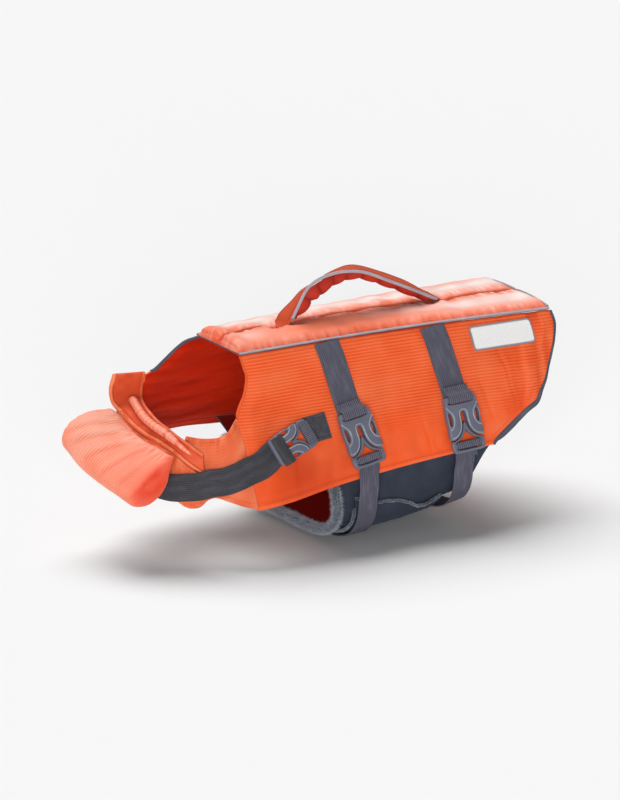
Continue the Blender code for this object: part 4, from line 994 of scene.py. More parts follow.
def moulded_group():
    """Moulded or rubbed surfaces: cloudy tone and a fine grain."""
    tree, place, given, end = group("moulded_surface", ("Colour", "Light"), ("Grain", "Gloss"))
    fine = clouds(tree, place, given["Grain"], 3.0)
    factor = ((clouds(tree, place, 60.0) - 0.4) * 1.1).held()
    colour = blended(tree, factor, given["Colour"], given["Light"])
    return end(colour, fine * 0.22 + given["Gloss"], fine)


CAST_GREY = "A8A6A6"


def finish(name, effect, values, bump, sheen, sheen_tint, specular, cast=1.0):
    """A material whose colour, roughness and relief come from one shared effect.

    The light it throws on things around it keeps only a share of its colour, set by cast.
    """
    made = bpy.data.materials.new(name)
    made.use_nodes = True
    tree = made.node_tree
    if effect is MOULDED:
        place = add_node(tree, "ShaderNodeTexCoord").outputs["Object"]
    else:
        place = add_node(tree, "ShaderNodeUVMap", uv_map="cloth").outputs[0]
    used = add_node(tree, "ShaderNodeGroup", {}, node_tree=effect)
    tree.links.new(place, used.inputs["Place"])
    for label, value in values.items():
        used.inputs[label].default_value = tint(value) if isinstance(value, str) else value
    if "Tone" in used.inputs:
        painted = add_node(tree, "ShaderNodeAttribute", attribute_name="tone")
        tree.links.new(painted.outputs["Fac"], used.inputs["Tone"])
    colour = used.outputs["Colour"]
    if cast < 1:
        thrown = Number(add_node(tree, "ShaderNodeLightPath").outputs["Is Diffuse Ray"])
        colour = blended(tree, thrown * (1 - cast), colour, tint(CAST_GREY))
    strength, distance = bump
    relief = add_node(tree, "ShaderNodeBump", {"Strength": strength, "Distance": distance,
                                               "Height": used.outputs["Height"]})
    shader = tree.nodes["Principled BSDF"]
    for label, value in (("Base Color", colour), ("Roughness", used.outputs["Roughness"]),
                         ("Normal", relief.outputs[0])):
        tree.links.new(value, shader.inputs[label])
    for label, value in (("Sheen Weight", sheen), ("Sheen Roughness", 0.4),
                         ("Sheen Tint", tint(sheen_tint)), ("Specular IOR Level", specular)):
        shader.inputs[label].default_value = value
    return made


CLOTH, WOVEN, MOULDED = cloth_group(), webbing_group(), moulded_group()
RIB_PITCH = 2.92
CHIN_RIB_PITCH = 2.2


# Deep and Light are the colours of the painted shade and highlights; the label uses Deep for its
# printed edge.
def cloth(name, colour, deep, light, pitch=RIB_PITCH, ribs=0.0, fade=(900.0, 1000.0), wear=1.0,
          creases=0.6, sheen=0.15, specular=0.3):
    values = {"Colour": colour, "Deep": deep, "Light": light, "Pitch": pitch, "Ribs": ribs,
              "Fade from": fade[0], "Fade to": fade[1], "Wear": wear, "Creases": creases}
    return finish(name, CLOTH, values, (0.5, 0.0006), sheen, light, specular, cast=0.3)


def woven(name, colour, deep, light, rib=1.9, pick=1.3):
    values = {"Colour": colour, "Deep": deep, "Light": light, "Rib": rib, "Pick": pick}
    return finish(name, WOVEN, values, (0.7, 0.0004), 0.1, light, 0.25)


def moulded(name, colour, light, grain, gloss, bump, sheen, specular, sheen_tint="FFFFFF"):
    values = {"Colour": colour, "Light": light, "Grain": grain, "Gloss": gloss}
    return finish(name, MOULDED, values, bump, sheen, sheen_tint, specular)


def thread(name, colour, light):
    return moulded(name, colour, light, 2500.0, 0.6, (0.3, 0.0001), 0.1, 0.3)


SIDE_CLOTH = cloth("ribbed_orange_cloth", "FF5C20", "CC3608", "FF9260", ribs=0.38,
                   fade=(68.0, 100.0))
EDGE_CLOTH = cloth("orange_edge_cloth", "EE5A24", "BE380C", "FF8A58")
CHEST_CLOTH = cloth("orange_chest_cloth", "F06838", "C44218", "FFA078", ribs=0.1, creases=0.9)
COLLAR_CLOTH = cloth("orange_collar_cloth", "EE5428", "B43010", "F88A60", wear=0.5)
# The insides: the same orange nylon, painted darker and redder as shade.
LINING = cloth("orange_lining_painted_shade", "CC2200", "7A0A00", "EA3C14", creases=1.0, sheen=0.0,
               specular=0.12)
BACK_CLOTH = cloth("coral_back_cloth", "FF845E", "E8502C", "FFECE5", creases=1.0, sheen=0.2)
CHIN_CLOTH = cloth("ribbed_coral_cloth", "FB8D6C", "F03810", "FFC0AA", CHIN_RIB_PITCH, 0.35,
                   sheen=0.2)
HANDLE_CLOTH = cloth("handle_orange_cloth", "D04A22", "93300F", "E8744A")
SLEEVE_CLOTH = cloth("handle_red_cloth", "C02A18", "860C04", "E0502E", creases=1.2)
BINDING = woven("grey_binding_tape", "BDB0B8", "766B76", "E6DADC", rib=1.4, pick=1.0)
TAIL_TAPE = woven("slate_binding_tape", "545868", "363945", "8A8E9C", rib=1.4, pick=1.0)
BELT = woven("violet_grey_webbing", "5C5B6A", "32313D", "83828F")
DARK_BELT = woven("dark_webbing_tape", "434248", "222125", "64636B")
PATCH_BELT = woven("sewn_patch_webbing", "504F56", "29282D", "72717A")
LABEL = cloth("white_label_cloth", "F6F5F4", "8E8D96", "FBFBFA", wear=0.2, creases=0.3, sheen=0.0)
NEOPRENE = moulded("slate_neoprene_face", "313744", "414A5A", 2200.0, 0.66, (0.5, 0.0003), 0.15,
                   0.25, "8090A8")
# The fleece's core is painted darker as shade and its fibres lighter as highlights.
FLEECE = moulded("grey_fleece_pile_painted_shade", "454955", "6C717D", 1500.0, 0.78, (0.8, 0.0006), 0.6, 0.15,
                 "E0E4EE")
FLEECE_TIPS = moulded("grey_fleece_tips_painted_highlight", "9CA1AC", "DADCE2", 1500.0, 0.8, (0.2, 0.0001), 0.4,
                      0.15, "E0E4EE")
PLASTIC = moulded("buckle_grey_plastic", "696C7B", "7B7E8D", 3200.0, 0.2, (0.12, 0.0001), 0.0,
                  0.55)
# A lighter plastic that paints the highlights on the buckles' raised edges.
PLASTIC_HIGHLIGHT = moulded("buckle_edge_painted_highlight", "8E92A2", "C4C8D2", 3200.0, 0.15, (0.1, 0.0001), 0.0,
                       0.6)
ORANGE_THREAD = thread("orange_thread", "D8481A", "F2703E")
CORAL_THREAD = thread("coral_thread", "F0805C", "FFB49A")
GREY_THREAD = thread("grey_thread", "33333B", "5C5C66")
BLACK_THREAD = thread("black_thread", "232227", "38373D")


# ---------------------------------------------------------------- stitches and pile

def growth_tree(name, spacing):
    """A geometry tree with named inputs, those inputs, and the way to end it."""
    tree = bpy.data.node_groups.new(name, "GeometryNodeTree")
    for label, kind in (("Geometry", "Geometry"), (spacing, "Float"), ("Length", "Float"),
                        ("Thickness", "Float"), ("Seed", "Int"), ("Material", "Material")):
        tree.interface.new_socket(label, in_out="INPUT", socket_type="NodeSocket" + kind)
    tree.interface.new_socket("Geometry", in_out="OUTPUT", socket_type="NodeSocketGeometry")
    given = tree.nodes.new("NodeGroupInput").outputs
    out = tree.nodes.new("NodeGroupOutput").inputs

    def end(points, thing, rotation, scale):
        """Puts the thing on the points and leaves plain faces of one material."""
        placed = add_node(tree, "GeometryNodeInstanceOnPoints",
                          {"Points": points, "Instance": thing, "Rotation": rotation,
                           "Scale": scale})
        plain = add_node(tree, "GeometryNodeRealizeInstances", {0: placed.outputs[0]})
        coated = add_node(tree, "GeometryNodeSetMaterial",
                          {"Geometry": plain.outputs[0], "Material": given["Material"]})
        tree.links.new(coated.outputs[0], out[0])
        return tree

    return tree, given, end


def varied(tree, low, high, seed, kind="FLOAT"):
    """A random number, or a random vector, for each thing that is placed."""
    made = add_node(tree, "FunctionNodeRandomValue", {"Seed": seed}, data_type=kind)
    first = 0 if kind == "FLOAT_VECTOR" else 2
    made.inputs[first].default_value = low
    made.inputs[first + 1].default_value = high
    return made.outputs[first // 2]


def stitch_tree():
    """Thread stitches laid end to end along the lines of a mesh."""
    tree, given, end = growth_tree("stitch_row", "Spacing")
    line = add_node(tree, "GeometryNodeMeshToCurve", {0: given["Geometry"]})
    spaced = add_node(tree, "GeometryNodeResampleCurve",
                      {"Curve": line.outputs[0], "Length": given["Spacing"]}, mode="LENGTH")
    bead = add_node(tree, "GeometryNodeMeshUVSphere", {"Segments": 6, "Rings": 4, "Radius": 1.0})
    ahead = tree.nodes.new("GeometryNodeInputTangent")
    turned = add_node(tree, "FunctionNodeAlignRotationToVector", {"Vector": ahead.outputs[0]},
                      axis="Z")
    long = Number(given["Length"]) * 0.5 * varied(tree, 0.85, 1.1, given["Seed"])
    size = add_node(tree, "ShaderNodeCombineXYZ", {0: given["Thickness"], 1: given["Thickness"],
                                                   2: long})
    return end(spaced.outputs[0], bead.outputs[0], turned.outputs[0], size.outputs[0])


def pile_tree():
    """Short leaning fibres over a surface."""
    tree, given, end = growth_tree("fleece_pile", "Density")
    spots = add_node(tree, "GeometryNodeDistributePointsOnFaces",
                     {"Mesh": given["Geometry"], "Density": given["Density"],
                      "Seed": given["Seed"]})
    fibre = add_node(tree, "GeometryNodeMeshCone",
                     {"Vertices": 3, "Radius Top": 0.0, "Radius Bottom": given["Thickness"],
                      "Depth": given["Length"]})
    lean = varied(tree, (-0.9, -0.9, 0), (0.9, 0.9, 3), given["Seed"], "FLOAT_VECTOR")
    turn = add_node(tree, "FunctionNodeEulerToRotation", {0: lean})
    leaning = add_node(tree, "FunctionNodeRotateRotation",
                       {0: spots.outputs["Rotation"], 1: turn.outputs[0]},
                       rotation_space="LOCAL")
    return end(spots.outputs["Points"], fibre.outputs["Mesh"], leaning.outputs[0],
               varied(tree, 0.5, 1.3, given["Seed"]))


def mesh_of(made):
    """The plain mesh that an object comes out as."""
    bpy.context.view_layer.update()
    seen = made.evaluated_get(bpy.context.evaluated_depsgraph_get())
    return bpy.data.meshes.new_from_object(seen)


def grown(made, tree, **values):
    """Runs a geometry tree over a piece and keeps the result as its plain mesh."""
    step = made.modifiers.new("growth", "NODES")
    step.node_group = tree
    for item in tree.interface.items_tree:
        if item.in_out == "INPUT" and item.name in values:
            step[item.identifier] = values[item.name]
    before, made.data = made.data, mesh_of(made)
    made.modifiers.remove(step)
    bpy.data.meshes.remove(before)
    return made


STITCHES, PILE = stitch_tree(), pile_tree()


def stitch(name, lines, slot, thread, spacing=3.3, length=2.5, thickness=0.27):
    """Rows of stitches along lines of garment points."""
    points, ends = [], []
    for line in lines:
        ends += [(k, k + 1) for k in range(len(points), len(points) + len(line) - 1)]
        points += list(line)
    mesh = bpy.data.meshes.new(name)
    mesh.from_pydata(in_frame(points), ends, [])
    made = grown(added(name, mesh), STITCHES, Spacing=spacing * METRES, Length=length * METRES,
                 Thickness=thickness * METRES, Seed=5, Material=thread)
    finished(made, slot)


# ---------------------------------------------------------------- back and sides

def rib_relief(across, pitch):
    """Ribs sunk below the cloth's face: 0 on a rib, -1 in a groove."""
    return -(1 - np.abs(np.sin(math.pi * across / pitch))) ** 1.3


def make_back():
    stations = [-2, 0, 3, 8, 14] + stretch(20, 300, 56) + [305, 309, 312, 314]
    columns = [math.sin(math.pi / 2 * t) * 0.25 + 0.75 * t for t in stretch(-1, 1, 44)]
    outer, inner = [], []
    for x in stations:
        half = back_half(x) - PIPING_RADIUS - SEAM_GAP
        outer.append([(x, c * half, back_top(x, c * half)) for c in columns])
        inner.append([(x, c * half, back_under(x, c * half)) for c in columns])
    outer, inner = dense(outer, 260, 190), dense(inner, 260, 190)
    x, y = outer[..., 0], outer[..., 1]
    share = np.abs(y) / back_half(x)
    beside = pressed(share, 0.14, 0.12)
    at_piping = fade(share, 0.74, 0.95)
    at_front = pressed(x, -2, 13)
    tucks = 0.95 * beside * grain(x / 2.9, y / 15, 3) + 0.8 * at_piping * grain(x / 3.3, y / 12, 4)
    tucks += 0.7 * at_front * grain(y / 2.7, x / 16, 7)
    relief = tucks + 0.35 * grain(x / 22 + y / 40, y / 10, 5) + 0.12 * grain(x / 7, y / 6, 6)
    relief += 2.2 * pressed(share, 0.78, 0.15) - 1.7 * pressed(share, 0.0, 0.045)
    for foot in HANDLE_FEET:
        relief += 3.4 * pressed(x, foot, 9) * pressed(np.abs(y), 12, 4.0)
    for end, rise in ((2, 2.0), (310, 1.0)):
        relief += rise * pressed(x, end, 7) * np.sin(math.pi * np.clip(share, 0, 1)) ** 0.8
    ends = np.minimum(fade(x, -2, 1), 1 - fade(x, 311, 314))
    # Painted shade along the middle groove, by the pipings, at the front edge and a little on the
    # near channel's middle; painted highlight on the channel tops, strongest on the far channel and
    # on the near one at its front and towards the rear, and on the crowns of the tucks.
    tone = 0.8 * pressed(share, 0.0, 0.07) + 0.55 * fade(share, 0.82, 1.0)
    tone += 0.3 * pressed(x, -2, 5)
    near = 0.15 + 0.4 * (1 - fade(x, 8, 40)) + 0.85 * fade(x, 160, 265)
    pale = mix(near, 1.15, fade(y, -5, 5)) * fade(x, 3, 20)
    tone += 0.15 * pressed(x, 105, 60) * fade(-y, 3, 14)
    tone -= pale * pressed(share, 0.5, 0.27) * (0.85 + 0.3 * grain(x / 16, y / 9, 8))
    tone -= 0.5 * tucks
    outer = raised(outer, BACK_MIDDLE, relief * ends)
    uv = np.stack([x, y + 70], axis=-1)
    made = shell("back_float", outer, inner, uv, BACK_CLOTH, LINING, tone=tone)
    finished(made, "coral_nylon", "back_panel", fill=0.55)
    seen = raised(outer, BACK_MIDDLE)
    stitch("back_stitches", [seen[4:-4, 5], seen[4:-4, -6], seen[4, 6:-6], seen[-5, 6:-6]],
           "coral_nylon", CORAL_THREAD)
    for word, start, shift, size, tape in (
            ("front", inner[0, 2:-2], (-0.5, 0, 0.9), 0.7, TAIL_TAPE),
            ("rear", outer[-1, 2:-2], (0.5, 0, 0.5), 1.05, BINDING)):
        line = axes(spread(start, 130) + shift, [UP] * 130)
        made = sweep("back_edge_cord_" + word, *line, round_section(size, size, 12), tape, 0.6)
        finished(made, "grey_binding")


# Creases in the side cloth: X, Z of one end, X, Z of the other, depth
SIDE_CREASES = ((249, -18, 258, -74, 1.0), (224, -46, 231, -84, 0.7), (272, -48, 262, -80, 0.6),
                (30, -66, 24, -108, 0.5), (86, -84, 92, -118, 0.5), (158, -70, 163, -112, 0.4))


def make_side(side, word):
    grid = side_grid(side, 56, 26)
    outer, inner = (dense([[(p.x, side * reach(p.x, p.z, side), p.z) for p in row]
                           for row in grid], 172, 232) for reach in (side_outer, side_inner))
    x, z = outer[..., 0], outer[..., 2]
    top = PIPING_RISE * np.sin(math.pi * np.clip(x / BACK_LENGTH, 0, 1))
    below = (top - z) / math.cos(UPPER_FLARE)
    from_hem = run_lengths(outer[:, ::-1], 1)[:, ::-1]
    kept = (1 - fade(below, 66, 98)) * fade(below, 1, 4) * fade(from_hem, 3, 9)
    kept = kept * fade(x, -6, 16) * (0.8 + 0.4 * grain(x / 22, below / 9, 10))
    relief = 0.24 * rib_relief(below + 0.25 * grain(x / 9, below / 9, 9), RIB_PITCH) * kept
    soft = 0.45 * grain(x / 26, below / 17, 11 + side) + 0.22 * grain(x / 9, below / 13, 14 + side)
    tails = pressed(x, 300, 34) * grain(x / 6.5 + below / 60, below / 50, 19)
    relief += soft + 0.85 * tails - 0.25 * pressed(from_hem, 4.6, 0.8)
    low = fade(below, 80, 112) * pressed(x, 35, 42)
    for x1, z1, x2, z2, depth in SIDE_CREASES:
        along = np.clip(((x - x1) * (x2 - x1) + (z - z1) * (z2 - z1))
                        / ((x2 - x1) ** 2 + (z2 - z1) ** 2), 0, 1)
        off = (x - x1 - along * (x2 - x1)) + 1.5 * grain(z / 14, 0 * z + x1, 20)
        kept = depth * np.sin(math.pi * np.clip(along, 0.02, 0.98)) ** 0.6
        relief -= 0.8 * kept * pressed(off, 0, 1.5) - 0.4 * kept * pressed(off, 4, 3)
        soft = soft - 0.9 * kept * pressed(off, 0, 1.4)
    # Painted shade low at the front, in the creases, just above the hem and under the piping;
    # painted highlight on the bulges, on the crowns of the tail wrinkles and along the hem's edge.
    tone = 0.6 * low - 0.3 * soft - 0.5 * tails + 0.15 * pressed(from_hem, 5.5, 1.6)
    tone -= 0.25 * pressed(from_hem, 1.5, 2.2) - 0.35 * (1 - fade(below, 0, 3))
    outer = raised(outer, SIDE_MIDDLE, relief)
    soft = 0.65 * grain(x / 45, below / 6.5, 17) + 0.3 * grain(x / 18, below / 4, 18)
    soft -= 0.5 * pressed(from_hem, 7, 0.8)
    # On the inside, painted shade and highlight follow its wrinkles, and a lighter band runs where
    # the hem is turned in.
    shade = -0.4 * soft - 0.5 * (1 - fade(from_hem, 6, 7.5)) * fade(from_hem, 0, 1)
    edges = np.minimum(fade(below, 0, 6), fade(from_hem, 0, 4))
    inner = raised(inner, SIDE_MIDDLE, -soft * edges)
    uv = np.stack([x + 60, below], axis=-1)
    made = shell("side_cloth_" + word, outer, inner, uv, SIDE_CLOTH, LINING, tone=tone,
                 tone_inside=shade)
    finished(made, "orange_ripstop", "side_panel_" + word, fill=0.5)
    seen = raised(outer, SIDE_MIDDLE)
    stitch("side_stitches_" + word, [seen[4:-4, 4], seen[4:-4, -9], seen[-7, 6:-10]],
           "orange_ripstop", ORANGE_THREAD)
    return outer, inner


def make_pipings():
    """The cords along the two seams between the back and the sides."""
    for side, word in ((LEFT, "left"), (RIGHT, "right")):
        xs = np.linspace(-2, BACK_LENGTH - 0.5, 150)
        line = [(x, side * back_half(x), piping_height(x)) for x in xs]
        size = 1 + 0.05 * grain(xs / 5, 0 * xs, 21 + side)
        profile = round_section(1.15, 1.3, 16)[None] * size[:, None, None]
        # The tone paints shade on the cord's underside.
        under = 1.4 * (0.5 - 0.5 * np.sin(turns(16))) - 0.35
        made = sweep("piping_cord_" + word, *axes(line, [UP] * 150), profile, BINDING, 0.6, under)
        finished(made, "grey_binding", "piping_" + word)


def make_tape(name, node, lines, width, finish, overlap, slot="grey_binding", count=120):
    """Tape folded round a raw edge. `lines` are the edge's outer, inner and next outer points,
    and `width` how far it reaches past the edge: a number, or a table by Z."""
    face, back, through, away = edge_axes(lines, count)
    half = np.linalg.norm(face - back, axis=-1) / 2 + 0.5
    reach = [read(width, z) if isinstance(width, tuple) else width for z in face[:, 2]]
    middle = (face + back) / 2
    section = [(-overlap, -half + 0.9), (-overlap, -half)]
    section += [(np.cos(a) * np.array(reach), np.sin(a) * half)
                for a in np.linspace(-math.pi / 2, math.pi / 2, 11)]
    section += [(-overlap, half), (-overlap, half - 0.9)]
    rings = np.stack([middle + away * np.reshape(out, (-1, 1)) + through * up[:, None]
                      for out, up in section], axis=1)
    made = loft(name, rings, finish, 0.2)
    finished(made, slot, *([node] if node else []))


def make_side_bindings(left, right):
    """Tape on the sides' tail edges, and on their neck edges down to the chest."""
    for (outer, inner), word in ((left, "left"), (right, "right")):
        tail = [line[1:-1] for line in edge_lines(outer, inner, -1)]
        make_tape("tail_tape_" + word, "tail_binding_" + word, tail, TAIL_BINDING, TAIL_TAPE, 0.8)
        neck = [line[1:FLAP_ROW + 12] for line in edge_lines(outer, inner, 0)]
        width, tape = (1.1, TAIL_TAPE) if word == "right" else (0.8, EDGE_CLOTH)
        make_tape("neck_edge_" + word, "neck_binding_" + word, neck, width, tape, width * 0.8,
                  count=60)


# ---------------------------------------------------------------- chest and neck

def puckered(face, away_from, seams):
    """Small gathers along a wall's edges, with a tone that paints shade in their hollows and
    highlight on their crowns. `seams` rows: axis, far end, spacing, reach, depth.
    """
    relief = np.zeros(face.shape[:2])
    lengths = [run_lengths(face, axis) for axis in (0, 1)]
    for axis, far_end, spacing, reach, depth in seams:
        into = lengths[1 - axis]
        if far_end:
            into = np.take(into, [-1], axis=1 - axis) - into
        relief += depth * grain(lengths[axis] / spacing, into / (reach * 1.6), 31 + axis) \
            * pressed(into, 0, reach)
    relief += 0.8 * grain(lengths[0] / 17, lengths[1] / 12, 33)
    return raised(face, away_from, relief), -0.6 * relief


def make_gathered_panel(name, node, grid, wall, middle, across, down, seams):
    """A thin cloth panel with small gathers along its seams; returns its two faces."""
    outer = dense(grid, across, down)
    inner = raised(outer, middle, -wall)
    outer, tone = puckered(outer, middle, seams)
    made = shell(name, outer, inner, unrolled(outer), CHEST_CLOTH, LINING, tone=tone)
    finished(made, "orange_ripstop", node, flat=cut_size(outer))
    return outer, inner


# Where the flap and the chest panel are sewn to the side cloths: the flap's first place down the
# neck edge, every how many places are read, and the height of the chest seam's top
FLAP_ROW, ROW_STEP, CHEST_SEAM_Z = 84, 12, -57


def make_flap(left_outer):
    crease = [Vector(p) - Vector((LAY_GAP * 1.6, 0, 0)) for p in left_outer[0][FLAP_ROW::ROW_STEP]]
    crease[0] = Vector(FLAP_TOP[0])
    rear = path(crease)
    top = path([rear(0)] + list(FLAP_TOP[1:]))
    hem = path([rear(1)] + list(FLAP_HEM[1:]))
    at = patch(top, hem, rear, path(FLAP_FRONT))
    grid = [[at(u, v) for v in steps(14)] for u in steps(22)]
    outer, inner = make_gathered_panel(
        "left_chest_flap", "chest_flap_left", grid, FLAP_WALL, FLAP_MIDDLE, 96, 72,
        ((0, False, 2.6, 9, 0.6), (0, True, 3.4, 7, 0.4), (1, True, 4.0, 9, 0.5)))
    seen = raised(outer, FLAP_MIDDLE)
    stitch("flap_stitches", [seen[5:-3, 5], seen[-6, 4:-4], seen[4:-6, -5]], "orange_ripstop",
           ORANGE_THREAD)
    lower = [line[34:-1] for line in edge_lines(outer, inner, -1)]
    make_tape("flap_front_tape", None, lower, 1.4, DARK_BELT, 1.8, "dark_webbing", 60)
    return grid


def make_collar():
    """The cradle strip behind the chin float, stitched along both edges."""
    rear, front = two_paths(CRADLE)
    face = dense([[rear(t).lerp(front(t), s) for s in steps(6)] for t in steps(40)], 260, 44)
    normal = unit(np.cross(np.gradient(face, axis=0), np.gradient(face, axis=1)))
    along, across = run_lengths(face, 0), run_lengths(face, 1)
    width = across[:, -1:]
    relief = -0.5 * (pressed(across, 3.4, 0.55) + pressed(width - across, 3.0, 0.55))
    relief += 0.5 * pressed(across, 1.2, 1.6) + 0.5 * pressed(width - across, 1.0, 1.4)
    relief += 0.4 * grain(along / 6, across / 8, 41) * fade(across, 4, 8)
    # Painted shade in the two stitched grooves, and painted highlight on the rolled edges and on
    # the small bumps.
    tone = 0.3 * (pressed(across, 3.4, 0.7) + pressed(width - across, 3.0, 0.7))
    tone -= 0.55 * pressed(across, 0.8, 1.3) + 0.9 * pressed(width - across, 0.4, 1.2)
    tone -= 0.25 * grain(along / 6, across / 8, 41)
    front = face - normal * relief[..., None]
    back = face + normal * CRADLE_WALL
    made = shell("neck_collar", front, back, unrolled(face), COLLAR_CLOTH, COLLAR_CLOTH, tone=tone)
    finished(made, "orange_ripstop", "collar_strip", flat=cut_size(front))
    seen = front - normal * 0.12
    stitch("collar_stitches", [seen[4:-4, 5], seen[4:-4, -7]], "orange_ripstop", ORANGE_THREAD,
           3.0, 2.2, 0.25)


def make_throat_roll():
    """A gathered roll along the collar that tapers into the left flap."""
    rear, front = two_paths(CRADLE)
    line, lifts = [], []
    for t in stretch(0.19, 0.91, 70):
        near = (rear(t + 0.01) - rear(t - 0.01)).normalized()
        across = front(t) - rear(t)
        line.append(rear(t) + across * THROAT_ROLL_ACROSS)
        lifts.append(across.cross(near).normalized())
    centres, sides, ups = finer(*axes(line, lifts), 380)
    t = np.linspace(0, 1, 380)
    taper = mix(1.0, 0.34, fade(t, 0.72, 1.0))
    centres = centres + ups * (LAY_GAP + THROAT_ROLL_HALF_HEIGHT * taper[:, None] * 1.1)
    phase = t * THROAT_GATHERS * 1.6
    phase = phase + 0.9 * grain(phase * 0.6, 0 * phase, 43)
    tuck = np.abs(phase % 1 - 0.5) * 2
    puff = np.sqrt(np.clip(1 - tuck ** 3.5, 0, 1))
    ends = np.sqrt(np.clip(np.minimum(t, 1 - t) / 0.03, 0.12, 1))
    section = round_section(THROAT_ROLL_HALF_WIDTH * 0.85, THROAT_ROLL_HALF_HEIGHT, 40)
    at_side = np.abs(np.cos(turns(40)))[None] ** 0.8
    wave = 1 + 0.05 * grain(phase[:, None] * 2.3, np.arange(40)[None] / 4, 44)
    size = (1 - (0.04 + 0.14 * at_side) * (1 - puff[:, None])) * wave
    profile = section[None] * (size * (ends * taper)[:, None])[..., None]
    # Painted shade in the tucks between the gathers, strongest on the roll's flanks, and painted
    # highlight on the puffs.
    tone = 0.9 * (1 - puff[:, None]) * at_side + 0.2 * at_side - 0.25 * puff[:, None]
    made = sweep("gathered_throat_roll", centres, sides, ups, profile, BACK_CLOTH, 0.5, tone)
    finished(made, "coral_nylon", "throat_roll", fill=0.7)


def make_chest(right_outer):
    seam = [Vector(p) - Vector((2.6 * LAY_GAP, 0, 0)) for p in right_outer[0][::ROW_STEP]
            if p[2] < CHEST_SEAM_Z]
    right = path(seam)
    top = path([row[:3] for row in CHEST] + [right(0)])
    hem = path([row[3:] for row in CHEST] + [right(1)])
    at = patch(top, hem, path([CHEST[0][:3], CHEST[0][3:]]), right)
    grid = [[at(u, v) for v in steps(10)] for u in steps(44)]
    outer, _ = make_gathered_panel("front_chest_panel", "chest_panel", grid, CHEST_WALL,
                                   CHEST_MIDDLE, 200, 60,
                                   ((0, False, 3.2, 8, 0.6), (0, True, 3.6, 6, 0.4)))
    seen = raised(outer, CHEST_MIDDLE)
    stitch("chest_stitches", [seen[3:-3, 4], seen[3:-3, -5]], "orange_ripstop", ORANGE_THREAD)
    make_neck_seam()
    return grid


def make_neck_seam():
    """The seam allowance that joins the collar's front edge to the chest panel's top edge."""
    (_, collar), (chest, _) = two_paths(CRADLE[3:]), two_paths(CHEST)

    def across(line, y, falling):
        return line(crossing(lambda t: (line(t).y > y) == falling, 24)[0])

    rows = []
    for y in np.linspace(-57, 44, 60):
        a = across(collar, min(y, 35), True)
        b = across(chest, y, False)
        rows.append([a, a.lerp(b, 0.5) + Vector((2.0, 0, 0)), b + Vector((0.6, 0, -1.5))])
    outer = dense(rows, 150, 14)
    outer, tone = puckered(outer, SEAM_MIDDLE, ((0, False, 2.4, 6, 0.4),))
    # The seam allowance lies under the chin float; its tone is raised to paint it in shade.
    made = shell("collar_seam", outer, raised(outer, SEAM_MIDDLE, -1.2), unrolled(outer),
                 COLLAR_CLOTH, LINING, tone=tone + 0.3)
    finished(made, "orange_ripstop")


# Soft folds of the chin float: place along it at the seam, lean, depth
CHIN_FOLDS = ((16, 0.10, 0.6), (31, 0.22, 1.0), (45, 0.30, 0.9), (60, 0.32, 1.1), (74, 0.26, 0.8))


